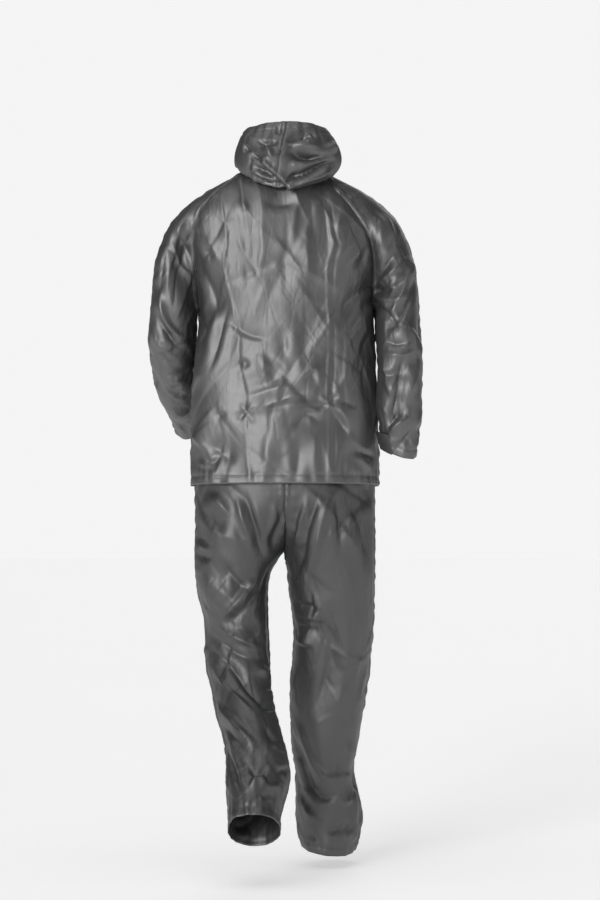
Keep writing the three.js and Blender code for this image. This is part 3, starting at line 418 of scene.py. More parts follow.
# The fronts, which the wearer's stride and the zip pull at
FRONT_FOLDS = [
    (12, -6, END, [(215, -255), (165, -300), (120, -370)]),
    (12, 5, END, [(218, -290), (175, -345), (150, -420)]),
    (11, -4.5, [(212, -330), (180, -420), (170, -500)]),
    (12, -6, END, [(-205, -255), (-160, -305), (-118, -365)]),
    (12, 5, END, [(-208, -288), (-170, -350), (-148, -430)]),
    (11, -4, [(-202, -325), (-176, -410), (-165, -500)]),
    (16, 4, [(90, -250), (84, -380), (95, -480)]),
    (14, -3.5, [(55, -180), (50, -300)]),
    (16, 4, [(-85, -240), (-80, -370), (-92, -470)]),
    (14, -3.5, [(-52, -190), (-48, -310)]),
    (4, 1.5, [(105, -110), (102, -420), (100, -704)]),
    (4, 1.5, [(-100, -110), (-98, -420), (-97, -704)]),
    (5, -2.5, [(195, -530), (120, -524), (50, -522)]),
    (5, -2.5, [(-50, -520), (-120, -523), (-190, -528)]),
    (5, 2, END, [(102, -524), (80, -505)]),
    (5, -2, END, [(102, -524), (124, -548)]),
    (5, 2, END, [(-98, -522), (-76, -545)]),
    (5, -2, END, [(-98, -522), (-120, -500)]),
    (15, -6, [(155, -555), (85, -598), (25, -592)]),
    (15, -6, [(-155, -548), (-92, -606), (-35, -638)]),
    (12, 4, [(150, -590), (95, -632), (40, -640)]),
    (12, 4, [(122, -600), (112, -702)]),
    (11, -4, [(60, -610), (66, -702)]),
    (12, 4, [(-70, -620), (-64, -702)]),
    (11, -4.5, [(-130, -600), (-125, -702)]),
    (10, 3.5, [(176, -640), (170, -702)]),
    (10, 3.5, [(-176, -640), (-172, -702)]),
    (8, 3, END, [(12, -150), (40, -170), (62, -164)]),
    (8, -3, END, [(-12, -215), (-40, -236), (-60, -230)]),
    (9, 3.5, END, [(12, -330), (38, -352), (66, -350)]),
    (9, -3.5, END, [(-12, -402), (-42, -424), (-70, -418)]),
    (8, 3, END, [(12, -486), (36, -500), (58, -497)]),
    (8, -3, END, [(-12, -566), (-34, -584), (-60, -580)]),
]
# The left sleeve from the front
SLEEVE_LEFT_FRONT_FOLDS = [
    (9, -6, END, [(205, -255), (232, -226), (260, -190)]),
    (9, 5, END, [(207, -270), (245, -262), (276, -240)]),
    (10, -9, [(214, -300), (250, -320), (286, -300)]),
    (10, 8, [(212, -332), (250, -352), (282, -344)]),
    (9, -5.5, [(214, -366), (245, -382), (270, -402)]),
    (10, 4, [(200, -150), (240, -220), (270, -290)]),
    (10, -4, [(236, -100), (262, -180), (284, -250)]),
    (9, 4.5, [(224, -420), (250, -440), (276, -430)]),
    (8, -4, [(228, -500), (255, -522)]),
    (8, 3.5, [(222, -545), (246, -562), (262, -556)]),
]
# The right sleeve from the front
SLEEVE_RIGHT_FRONT_FOLDS = [
    (9, -6, END, [(-196, -255), (-230, -226), (-255, -190)]),
    (9, 5.5, END, [(-198, -263), (-240, -259), (-276, -240)]),
    (9, -5, END, [(-200, -276), (-240, -291), (-280, -286)]),
    (9, -7, [(-205, -360), (-245, -373), (-286, -360)]),
    (9, 6, [(-208, -390), (-250, -399), (-290, -386)]),
    (9, -5, [(-214, -430), (-255, -441), (-295, -455)]),
    (9, 5, [(-224, -490), (-254, -530), (-262, -575)]),
    (8, -4, [(-282, -480), (-270, -560)]),
    (10, 4, [(-240, -80), (-262, -160), (-275, -230)]),
]
# The left leg from the front
LEG_LEFT_FRONT_FOLDS = [
    (12, -7, [(132, -708), (110, -790), (60, -858)]),
    (12, 6, [(62, -700), (70, -790), (40, -856)]),
    (11, 4, [(170, -710), (165, -800), (150, -880)]),
    (11, -7, [(60, -1000), (110, -1030), (160, -1012)]),
    (11, 6, [(62, -1050), (110, -1076), (158, -1060)]),
    (10, -6, [(70, -1100), (115, -1130), (150, -1120)]),
    (10, 6, [(60, -1180), (98, -1240), (110, -1330)]),
    (10, -5, [(132, -1180), (116, -1262)]),
    (9, -6, [(52, -1350), (85, -1390), (120, -1382)]),
    (8, 5, [(55, -1402), (90, -1430), (122, -1416)]),
    (7, -4, [(70, -1442), (100, -1460)]),
]
# The right leg from the front
LEG_RIGHT_FRONT_FOLDS = [
    (12, -7, [(-62, -708), (-50, -800), (-20, -868)]),
    (12, 6, [(-132, -708), (-116, -800), (-90, -880)]),
    (11, -4, [(-170, -720), (-165, -820)]),
    (12, -6, [(-40, -1010), (-85, -1040), (-130, -1022)]),
    (11, 5.5, [(-38, -1060), (-85, -1086), (-128, -1070)]),
    (10, 5, [(-40, -1200), (-75, -1260), (-90, -1340)]),
    (9, -4.5, [(-122, -1180), (-106, -1270)]),
    (9, -6, [(-36, -1400), (-80, -1440), (-130, -1430)]),
    (8, 5, [(-38, -1450), (-82, -1476), (-128, -1462)]),
    (6, -3, [(-60, -1490), (-100, -1502)]),
]

# %% [markdown]
# Sewing starts from the edges. Every edge point of a panel either lies against a neighbour's edge, and
# is sewn there, or is free, as at a hem. Each point of the cloth then learns how far it is from the
# nearest sewn edge and from the nearest free edge, and how far along that edge it lies.
# %%
SEWN_WITHIN = 0.005
FAR = 1.0


def points_of(piece):
    """The sheet's points as rows of x, y and z."""
    points = np.empty(3 * len(piece.data.vertices))
    piece.data.vertices.foreach_get("co", points)
    return points.reshape(-1, 3)


def normals_of(piece):
    """The sheet's outward directions, a row for each point."""
    normals = np.empty(3 * len(piece.data.vertices))
    piece.data.vertices.foreach_get("normal", normals)
    return normals.reshape(-1, 3)


def edge_of(piece):
    """The points round the sheet's edge in order, and how far along the edge each lies."""
    mesh = piece.data
    used = np.zeros(len(mesh.loops), dtype=int)
    mesh.loops.foreach_get("edge_index", used)
    single = np.flatnonzero(np.bincount(used, minlength=len(mesh.edges)) == 1)
    beside = {}
    for e in single:
        a, b = mesh.edges[int(e)].vertices
        beside.setdefault(a, []).append(b)
        beside.setdefault(b, []).append(a)
    places = points_of(piece)
    order, along = [], []
    while beside:
        at = min(beside)
        run = 0.0
        while at is not None:
            order.append(at)
            along.append(run)
            nexts = [b for b in beside.pop(at) if b in beside]
            if nexts:
                run += float(np.linalg.norm(places[nexts[0]] - places[at]))
            at = nexts[0] if nexts else None
    return np.array(order), np.array(along)


def tree_of(points):
    """A search tree for the nearest of these points."""
    tree = kdtree.KDTree(len(points))
    for i, p in enumerate(points):
        tree.insert(p, i)
    tree.balance()
    return tree


edges, rest, owners, seam, hem = {}, {}, {}, {}, {}


def find_owners():
    """Finds each panel's edge, and the neighbour's point that each edge point is sewn to."""
    for name, piece in cloth.items():
        edges[name] = edge_of(piece)
        rest[name] = points_of(piece)
    every_edge = [(name, i) for name, (order, _) in edges.items() for i in order]
    for name in cloth:
        others = [(other, i) for other, i in every_edge if other != name]
        tree = tree_of([rest[other][i] for other, i in others])
        owners[name] = []
        for i in edges[name][0]:
            _, nearest, gap = tree.find(rest[name][i])
            owners[name].append(others[nearest] if gap < SEWN_WITHIN else None)


def edge_distances(name, sewn):
    """For each point: its distance to the nearest such edge point, that one's index, and its place along."""
    order, along = edges[name]
    chosen = [k for k, owner in enumerate(owners[name]) if (owner is not None) == sewn]
    points = rest[name]
    if not chosen:
        return np.full(len(points), FAR), np.zeros(len(points), dtype=int), np.zeros(len(points))
    tree = tree_of([points[order[k]] for k in chosen])
    found = [tree.find(p) for p in points]
    nearest = np.array([chosen[f[1]] for f in found])
    return np.array([f[2] for f in found]), nearest, along[nearest]


def measure_edges():
    """Finds what is sewn to what, and every point's distances from the edges."""
    find_owners()
    for name in cloth:
        seam[name] = edge_distances(name, True)
        hem[name] = edge_distances(name, False)


measure_edges()
print({name: sum(o is not None for o in own) for name, own in owners.items()}, "sewn edge points")
print("furthest point from a seam on the back:", round(float(seam["back"][0].max()), 3), "m")

# %% [markdown]
# A fold lifts or sinks the cloth beside its path. Its crest is nearly sharp, one flank is steeper than
# the other, and the cloth that it takes up leaves a shallow dip beyond each flank. It dies away towards
# its ends, over a length that grows with its width.
# %%
FOLD_REACH, FOLD_OUTSIDE = 4.0, 1.5
FOLD_SHARP, FOLD_FALL = 0.25, 1.3
STEEP, GENTLE = 0.6, 2.2
DIP, DIP_AT = 0.1, 2.3
FADE_WIDTHS, FADE_SHARE = 7.0, 0.45
WANDER, WANDER_OVER = 0.004, 0.07
CURVE_STEPS = 5


def curved(path):
    """The path in metres as a smooth curve through its points."""
    p = np.array(path) / 1000
    p = np.vstack([2 * p[0] - p[1], p, 2 * p[-1] - p[-2]])
    t = np.linspace(0, 1, CURVE_STEPS, endpoint=False)[:, None]
    spans = []
    for a, b, c, d in zip(p[:-3], p[1:-2], p[2:-1], p[3:]):
        spans.append((2 * b + (c - a) * t + (2 * a - 5 * b + 4 * c - d) * t**2
                      + (3 * b - a - 3 * c + d) * t**3) / 2)
    return np.vstack(spans + [p[-2:-1]])


def beside_path(points, path):
    """Each point's signed distance from the path, and how far along the path it is nearest."""
    best = np.full(len(points), np.inf)
    side = np.ones(len(points))
    along = np.zeros(len(points))
    gone = 0.0
    for start, end in zip(path[:-1], path[1:]):
        span = end - start
        length = float(np.hypot(*span))
        share = np.clip((points - start) @ span / length**2, 0, 1)
        gap = points - start - share[:, None] * span
        far = np.hypot(gap[:, 0], gap[:, 1])
        near = far < best
        best[near] = far[near]
        side[near] = np.sign(span[0] * gap[near, 1] - span[1] * gap[near, 0])
        along[near] = gone + share[near] * length
        gone += length
    return best * side, along, gone


def eased(share):
    """Eases from 0 to 1 as share goes from 0 to 1."""
    share = np.clip(share, 0, 1)
    return share * share * (3 - 2 * share)


def press(points, folds):
    """How far all the folds together lift each point, in metres."""
    lift = np.zeros(len(points))
    for turn, (wide, deep, *at_end_alone, path) in enumerate(folds):
        wide, deep = wide / 1000, deep / 1000
        line = curved(path)
        low, high = line.min(0) - FOLD_REACH * wide, line.max(0) + FOLD_REACH * wide
        close = np.flatnonzero(np.all((points > low) & (points < high), axis=1))
        if not len(close):
            continue
        away, along, length = beside_path(points[close], line)
        steep_side = 1 if turn % 2 else -1
        width = wide * np.where(away * steep_side > 0, STEEP, GENTLE)
        u = np.abs(away) / width
        crest = np.exp(FOLD_SHARP - np.sqrt((FOLD_FALL * u) ** 2 + FOLD_SHARP**2))
        crest -= DIP * np.exp(-((u - DIP_AT) ** 2))
        dies = min(FADE_WIDTHS * wide, FADE_SHARE * length)
        ends = eased((length - along) / dies)
        if not at_end_alone:
            ends = ends * eased(along / dies)
        outside = eased((FOLD_REACH - u) / FOLD_OUTSIDE)
        lift[close] += deep * crest * ends * outside
    return lift

# %% [markdown]
# Each panel takes the folds of the side that it shows. A fold acts fully where the cloth faces the side
# that it was measured from, and not at all where the cloth faces away. Between the placed folds, thin
# coated cloth is never smooth. It keeps large flat facets, which are longer along the drape, and short
# creases from packing and wear. These are scattered from a fixed seed, so each run gives the same ones.
# %%
BACKWARD, FORWARD = 1, -1
FOLDS = {
    "back": [(BACKWARD, BACK_FOLDS)],
    "front_left": [(FORWARD, FRONT_FOLDS)],
    "front_right": [(FORWARD, FRONT_FOLDS)],
    "raglan_left_back": [(BACKWARD, SLEEVE_LEFT_FOLDS)],
    "raglan_left_front": [(BACKWARD, SLEEVE_LEFT_FOLDS), (FORWARD, SLEEVE_LEFT_FRONT_FOLDS)],
    "raglan_right_back": [(BACKWARD, SLEEVE_RIGHT_FOLDS)],
    "raglan_right_front": [(BACKWARD, SLEEVE_RIGHT_FOLDS), (FORWARD, SLEEVE_RIGHT_FRONT_FOLDS)],
    "hood_half_left": [(BACKWARD, HOOD_FOLDS)],
    "hood_half_right": [(BACKWARD, HOOD_FOLDS)],
    "leg_left_back": [(BACKWARD, LEG_LEFT_FOLDS)],
    "leg_left_front": [(BACKWARD, LEG_LEFT_FOLDS), (FORWARD, LEG_LEFT_FRONT_FOLDS)],
    "leg_right_back": [(BACKWARD, LEG_RIGHT_FOLDS)],
    "leg_right_front": [(BACKWARD, LEG_RIGHT_FOLDS), (FORWARD, LEG_RIGHT_FRONT_FOLDS)],
}
TURNS_AWAY, TURNS_TO = -0.15, 0.35
# The noise would start from the clock. A fixed start gives the same suit in every run.
NOISE_START = 5
noise.seed_set(NOISE_START)
CALM, CALM_BESIDE = 0.5, 0.03


def wander(points):
    """A slow drift of each place, so that no fold runs quite straight."""
    return np.array([tuple(noise.noise_vector(Vector(p) / WANDER_OVER))[0:3:2] for p in points]) * WANDER


def fold_lift(points, normals, folds):
    """The lift that a panel's tables of folds give to each of its points."""
    drift = wander(points)
    lift = np.zeros(len(points))
    for side, table in folds:
        faces = eased((side * normals[:, 1] - TURNS_AWAY) / (TURNS_TO - TURNS_AWAY))
        flat = seen(points) if side == BACKWARD else points[:, [0, 2]]
        lift += faces * press(flat + drift, table)
    return lift


# Size of the facets across and along, how far their edges stand out, and where the pattern starts
FACETS = [((0.085, 0.22), 0.0012, 3.0), ((0.034, 0.09), 0.0005, 17.0)]
FACET_SOFT, FACET_STEEP = 0.002, 1.8


def facet_lift(points):
    """The lift of the facets: soft-edged ridges where a noise crosses zero."""
    lift = np.zeros(len(points))
    for (across, along), high, start in FACETS:
        scaled = points / np.array([across, across, along]) + start
        ridge = np.array([abs(noise.noise(Vector(p))) for p in scaled])
        lift += high * (0.5 - np.sqrt(ridge * ridge + FACET_SOFT) * FACET_STEEP)
    return lift


# How strongly a kind of panel shows its folds, and how many short creases a square metre of it has
SHARES = {"hood": (1.9, 450), "back": (1.35, 330)}
USUAL_SHARE = (1.6, 360)
CRUMPLE_LONG, CRUMPLE_WIDE, CRUMPLE_STEEP = (0.05, 0.26), (0.008, 0.030), (0.08, 0.18)
CRUMPLE_TURN, CRUMPLE_BEND = 0.65, 0.8
CRUMPLE_NEAR, CRUMPLE_ENDS, CRUMPLE_SHARP = 0.045, 0.35, 0.12
CRUMPLE_FLANKS, CRUMPLE_REACH = (0.25, 1.5), 6


def crumple_lift(points, normals, count, seed):
    """The lift of short straight creases, scattered over the sheet and mostly along the drape."""
    draw = np.random.default_rng(seed)
    lift = np.zeros(len(points))
    for _ in range(int(count)):
        centre = draw.integers(len(points))
        out = normals[centre]
        across = np.cross(out, (0, 0, 1))
        across /= max(np.linalg.norm(across), 1e-6)
        turn = draw.normal(0, CRUMPLE_TURN)
        way = math.cos(turn) * np.cross(across, out) + math.sin(turn) * across
        half = draw.uniform(*CRUMPLE_LONG) / 2
        wide = draw.uniform(*CRUMPLE_WIDE)
        deep = wide * draw.uniform(*CRUMPLE_STEEP) * draw.choice((-1, 1))
        flanks = draw.permutation(CRUMPLE_FLANKS)
        bend = draw.normal(0, CRUMPLE_BEND)
        gap = points - points[centre]
        along = gap @ way
        away = gap @ np.cross(out, way) + bend * along * along
        u = np.abs(away) / (wide * np.where(away > 0, *flanks))
        near = (np.abs(gap @ out) < CRUMPLE_NEAR) & (np.abs(along) < half) & (u < CRUMPLE_REACH)
        crest = np.exp(CRUMPLE_SHARP - np.sqrt(u * u + CRUMPLE_SHARP**2))
        ends = eased((half - np.abs(along)) / (2 * CRUMPLE_ENDS * half))
        lift += np.where(near, deep * crest * ends, 0)
    return lift


def set_points(piece, points):
    """Moves the sheet's points there."""
    piece.data.vertices.foreach_set("co", points.ravel())
    piece.data.update()


def keep(piece, name, values):
    """Stores one number for each point."""
    piece.data.attributes.new(name, "FLOAT", "POINT").data.foreach_set("value", values.astype(np.float32))


lifted = {}
for name, piece in cloth.items():
    keep(piece, "seam", seam[name][0])
    keep(piece, "hem", hem[name][0])
    keep(piece, "along", np.where(seam[name][0] < hem[name][0], seam[name][2], hem[name][2]))
    normals = normals_of(piece)
    lift = np.zeros(len(normals))
    if name not in PLAIN:
        share, creases = SHARES.get(name.split("_")[0], USUAL_SHARE)
        area = sum(p.area for p in piece.data.polygons)
        calm = eased(np.minimum(seam[name][0], hem[name][0]) / CALM_BESIDE)
        lift = share * fold_lift(rest[name], normals, FOLDS[name])
        lift += crumple_lift(rest[name], normals, area * creases, len(lifted))
        lift = facet_lift(rest[name]) + lift * (CALM + (1 - CALM) * calm)
        highest, lowest = (round(float(each) * 1000, 1) for each in (lift.max(), lift.min()))
        print(name, "lifts", highest, "sinks", lowest, "mm")
    lifted[name] = (normals, lift)
print(sum(len(piece.data.polygons) for piece in cloth.values()), "cells in all")

# %% [markdown]
# The seams and hems hold the cloth. A flat-felled seam is a raised band of four layers, 10 mm wide, on
# one side of the join. A hem is turned up 18 mm and its stitching gathers it slightly. Both pucker the
# cloth beside them in short waves that die away within a few centimetres.
# %%
FELLED = {"raglan_left_back", "raglan_right_back", "leg_left_back", "leg_right_back", "hood_half_left"}
BAND, BAND_HIGH = 0.010, 0.0013
GROOVE, GROOVE_WIDE = 0.0012, 0.0035
HEM, HEM_HIGH, HEM_SOFT = 0.018, 0.0006, 0.003
PUCKER, PUCKER_OVER, PUCKER_REACH = 0.0017, 0.014, 0.026
SEAM_WAVES, HEM_WAVES = 0.5, 7.5


def waves(along, offset):
    """Short uneven waves along an edge, from -1 to 1. The offset picks a row of them."""
    return np.array([noise.noise(Vector((a / PUCKER_OVER, offset, 0))) for a in along]) * 2


def sewing_lift(name):
    """How the seams and hems raise and pucker the cloth beside them."""
    by_seam, _, along_seam = seam[name]
    by_hem, _, along_hem = hem[name]
    lift = -GROOVE * np.exp(-((by_seam / GROOVE_WIDE) ** 2))
    if name in FELLED:
        lift += BAND_HIGH * eased((BAND - by_seam) / GROOVE_WIDE + 0.5)
    lift += HEM_HIGH * eased((HEM - by_hem) / HEM_SOFT + 0.5)
    lift -= GROOVE * np.exp(-(((by_hem - HEM) / HEM_SOFT) ** 2))
    reach = np.exp(-((by_seam / PUCKER_REACH) ** 2))
    lift += PUCKER * reach * waves(along_seam, SEAM_WAVES)
    reach = np.exp(-(((by_hem - HEM) / PUCKER_REACH) ** 2))
    return lift + PUCKER * reach * waves(along_hem, HEM_WAVES)


moved = {}
for name in cloth:
    normals, lift = lifted[name]
    share = 0 if name in PLAIN else 1
    moved[name] = rest[name] + normals * (lift + share * sewing_lift(name))[:, None]
print("sewn and hemmed", len(moved), "panels")

# %% [markdown]
# Two panels that are sewn together must still meet. Each sewn edge point goes half way to the point it
# is sewn to, and the cloth beside the seam follows, less and less over 6 cm. So a fold that reaches a
# seam runs on into the next panel.
# %%
FOLLOW = 0.06


def meet(name):
    """The moves that bring a panel's sewn edge to its neighbours'."""
    order, _ = edges[name]
    step = np.zeros((len(order), 3))
    for k, owner in enumerate(owners[name]):
        if owner:
            step[k] = (moved[owner[0]][owner[1]] - moved[name][order[k]]) / 2
    away, nearest, _ = seam[name]
    return step[nearest] * (1 - eased(away / FOLLOW))[:, None]


closing = {name: meet(name) for name in cloth}
for name, piece in cloth.items():
    moved[name] = moved[name] + closing[name]
    set_points(piece, moved[name])
print("largest move at a seam", round(max(float(np.abs(c).max()) for c in closing.values()) * 1000, 1), "mm")

# %% [markdown]
# The cloth is a single layer under a millimetre thick, but it needs both faces and an edge. Solidify
# adds the inner face, so that the hem, the cuffs and the hood can be looked into.
# %%
THICK = 0.0009


def thicken(piece, thick):
    """Turns the sheet into a thin closed shell, inward from its outer face."""
    bpy.context.view_layer.objects.active = piece
    wall = piece.modifiers.new("thickness", "SOLIDIFY")
    wall.thickness = thick
    wall.offset = -1
    bpy.ops.object.modifier_apply(modifier=wall.name)
    piece.data.shade_smooth()


for piece in cloth.values():
    thicken(piece, THICK)
print(sum(2 * len(piece.data.polygons) for piece in cloth.values()), "triangles of cloth")

# %% [markdown]
# Each cuff has a short doubled tab that draws it in. It is sewn down at one end and lifts at the other.
# Its solid already has that form, so the tab is a copy of it with its edges rounded.
# %%
TAB_ROUND = 0.0005


def make_tab(name, node):
    """A tab from its solid, with soft edges."""
    tab = copy_solid(name, node)
    join_cells(tab)
    bpy.ops.object.mode_set(mode="EDIT")
    bpy.ops.mesh.select_all(action="SELECT")
    bpy.ops.uv.smart_project()
    bpy.ops.object.mode_set(mode="OBJECT")
    tab.data.uv_layers.active.name = "cut"
    soft = tab.modifiers.new("soft edges", "BEVEL")
    soft.width = TAB_ROUND
    soft.segments = 2
    soft.limit_method = "ANGLE"
    bpy.ops.object.modifier_apply(modifier=soft.name)
    divide(tab, PLAIN_LEVELS)
    for distance in ("seam", "hem", "along"):
        keep(tab, distance, np.full(len(tab.data.vertices), FAR))
    tab.data.shade_smooth()
    return tab


tabs = {side: make_tab("tab_" + side, "cuff_tab_" + side) for side in ("left", "right")}
print({side: len(tab.data.polygons) for side, tab in tabs.items()}, "faces on the tabs")

# %% [markdown]
# The zip has moulded teeth, one every 3 mm, gripping the two tapes' inner edges in turn. One tooth is
# modelled: a block whose head is wider than its root, with rounded edges. The rest are its copies,
# each turned to the tape where it sits, and joined into one mesh for each tape.
# %%
PITCH = 0.003
TOOTH = (0.0044, 0.0018, 0.0026)
TOOTH_HEAD, TOOTH_ROUND = 1.25, 0.0003


def make_tooth():
    """One tooth, its head towards +X and its height along Y."""
    bpy.ops.object.select_all(action="DESELECT")
    bpy.ops.mesh.primitive_cube_add(size=1, scale=TOOTH)
    tooth = bpy.context.view_layer.objects.active
    bpy.ops.object.transform_apply(scale=True)
    for v in tooth.data.vertices:
        if v.co.x > 0:
            v.co.y *= TOOTH_HEAD
    rounded = tooth.modifiers.new("rounded", "BEVEL")
    rounded.width = TOOTH_ROUND
    rounded.segments = 1
    bpy.ops.object.modifier_apply(modifier=rounded.name)
    return tooth


TAPE_EDGE = 0.0008
TEETH_END = 0.012


def inner_edge(name):
    """The tape's edge at the middle of the zip, from the top down."""
    points = rest[name]
    near = points[np.abs(points[:, 0]) < np.abs(points[:, 0]).min() + TAPE_EDGE]
    return near[np.argsort(-near[:, 2])]


def make_teeth(name, tape, side, offset, tooth):
    """The row of teeth on one tape."""
    line = inner_edge(tape)
    gone = np.concatenate([[0], np.cumsum(np.linalg.norm(np.diff(line, axis=0), axis=1))])
    stops = np.arange(TEETH_END + offset, gone[-1] - TEETH_END, PITCH)
    middle = np.stack([np.interp(stops, gone, line[:, i]) for i in range(3)], 1)
    ahead = np.stack([np.interp(stops + PITCH, gone, line[:, i]) for i in range(3)], 1)
    corners = points_of(tooth)
    faces = [tuple(p.vertices) for p in tooth.data.polygons]
    places, sides = [], []
    for at, to in zip(middle, ahead):
        down = to - at
        down = down / np.linalg.norm(down)
        out = np.cross([1.0, 0, 0], down)
        out = out / np.linalg.norm(out)
        turned = np.stack([[-side, 0, 0], out, down])
        sides += [tuple(len(places) + i for i in face) for face in faces]
        places += list(corners @ turned + at)
    mesh = bpy.data.meshes.new(name)
    mesh.from_pydata(places, [], sides)
    teeth = bpy.data.objects.new(name, mesh)
    bpy.context.scene.collection.objects.link(teeth)
    bpy.ops.object.select_all(action="DESELECT")
    teeth.select_set(True)
    bpy.context.view_layer.objects.active = teeth
    bpy.ops.object.mode_set(mode="EDIT")
    bpy.ops.mesh.select_all(action="SELECT")
    bpy.ops.mesh.normals_make_consistent(inside=False)
    bpy.ops.object.mode_set(mode="OBJECT")
    bpy.ops.object.shade_smooth_by_angle()
    print(name, len(stops), "teeth over", round(float(gone[-1]), 3), "m")
    return teeth


tooth = make_tooth()
teeth = {
    "left": make_teeth("teeth_left", "tape_left", 1, 0, tooth),
    "right": make_teeth("teeth_right", "tape_right", -1, PITCH / 2, tooth),
}
bpy.data.objects.remove(tooth)

# %% [markdown]
# Finishes are built from nodes. This small class wraps a socket so that shader maths can be written as
# a Python sum, and one method makes every other node.
# %%
class Wire:
    """A socket that can be used in a sum."""

    def __init__(self, finish, socket):
        self.finish, self.socket = finish, socket

    def maths(self, operation, *values, **settings):
        return self.finish.node("Math", {"operation": operation, **settings}, dict(enumerate(values)))

    def __add__(self, other):
        return self.maths("ADD", self, other)

    def __sub__(self, other):
        return self.maths("SUBTRACT", self, other)

    def __rsub__(self, other):
        return self.maths("SUBTRACT", other, self)

    def __mul__(self, other):
        return self.maths("MULTIPLY", self, other)

    def __truediv__(self, other):
        return self.maths("DIVIDE", self, other)

    __radd__, __rmul__ = __add__, __mul__

    def clipped(self):
        return self.maths("ADD", self, 0, use_clamp=True)

    def size(self):
        return self.maths("ABSOLUTE", self)

    def repeat(self, every):
        return self.maths("PINGPONG", self, every)


class Finish:
    """A material that is being built, with its Principled shader as surface."""

    def __init__(self, name, **values):
        self.material = bpy.data.materials.new(name)
        self.material.use_nodes = True
        self.tree = self.material.node_tree
        self.surface = self.tree.nodes["Principled BSDF"]
        self.feed(self.surface, values)

    def feed(self, node, inputs):
        for key, value in inputs.items():
            socket = node.inputs[key.replace("_", " ") if isinstance(key, str) else key]
            if isinstance(value, Wire):
                self.tree.links.new(value.socket, socket)
            else:
                socket.default_value = value

    def node(self, kind, settings=(), inputs=(), output=0):
        made = self.tree.nodes.new("ShaderNode" + kind)
        for key, value in dict(settings).items():
            setattr(made, key, value)
        self.feed(made, dict(inputs))
        return Wire(self, made.outputs[output])

    def attribute(self, name):
        return self.node("Attribute", {"attribute_name": name}, output="Fac")

    def place(self):
        return self.node("TexCoord", output="Object")

    def noise(self, scale, detail=2.0, at=None):
        vector = at or self.place()
        return self.node("TexNoise", {}, {"Vector": vector, "Scale": scale, "Detail": detail})

    def blend(self, share, first, second):
        inputs = {0: share, 6: first, 7: second}
        return self.node("Mix", {"data_type": "RGBA"}, inputs, output=2)

    def raise_surface(self, height):
        bump = self.node("Bump", {}, {"Height": height, "Distance": 1.0, "Strength": 1.0})
        self.feed(self.surface, {"Normal": bump})


print("finishes are ready to mix")

# %% [markdown]
# The shell is a plain woven nylon with a coated back. Its face is a neutral grey with a satin gloss that
# varies a little where the coating is thicker. In close view it shows its threads, small creases, fine
# streaks down the drape and two kinds of stitching: twin rows on the felled seams and one row round the
# hems. The rows are drawn from the distances that the points carry, and a row is broken into stitches by
# the place along the edge. An image of cloth would blur in close view, so all of it is procedural.
# %%
STITCH, STITCH_WIDE, STITCH_DEEP = 0.0032, 0.0006, 0.0003
SEAM_ROWS = (0.0022, 0.0078)
THREAD, THREAD_HIGH = 0.0006, 0.00002
TONE, SHADE, THREAD_SHADE = (0.021, 0.0214, 0.0222), 0.07, 0.55
# Patches of shine and fine grain: how many to a metre, and the height of the grain
CLOUDS, GRAIN, GRAIN_HIGH = 7.0, 90.0, 0.0001
COATING_IOR = 1.9
# A net of creases: cells per metre, how wide a crease is and how deep, in metres
LARGE_NET, SMALL_NET = (11.0, 0.005, 0.00028), (27.0, 0.0028, 0.0002)
STRAY = 0.05
# Streaks: how far they lean, how far they are raised, and where the pattern starts
STREAKS = [(0.1, 0.0004, 0), (0.6, 0.0003, 3), (-0.6, -0.0003, 7)]
STREAK_LONG = 0.12


def stitch_row(finish, distance, at, along):
    """One where a row of stitches lies, that far from an edge, and nought between the stitches."""
    line = (1 - (distance - at).size() / STITCH_WIDE).clipped()
    gaps = (along.repeat(STITCH / 2) / (STITCH / 2) * 4 - 0.6).clipped()
    return line * gaps


def crease_net(finish, net, at):
    """Creases along the edges of a net of uneven cells, as a height that is less there."""
    scale, wide, deep = net
    edge = finish.node("TexVoronoi", {"feature": "DISTANCE_TO_EDGE"}, {"Vector": at, "Scale": scale})
    return (edge / (wide * scale)).clipped() * deep


def streaks(finish, lean, start):
    """One along thin lines that run down the drape, leaning to a side, and nought between them."""
    turned = {"Vector": finish.place(), "Rotation": (0, lean, 0)}
    leaning = finish.node("Mapping", {"vector_type": "TEXTURE"}, turned)
    stretched = {"Vector": leaning, "Scale": (1, 1, STREAK_LONG), "Location": (start, 0, 0)}
    drawn_out = finish.node("Mapping", {}, stretched)
    line = (1 - (finish.noise(24.0, 1.5, drawn_out) - 0.5).size() * 16).clipped()
    return line * (finish.noise(6.0, 2.0, drawn_out) * 4 - 1.6).clipped()


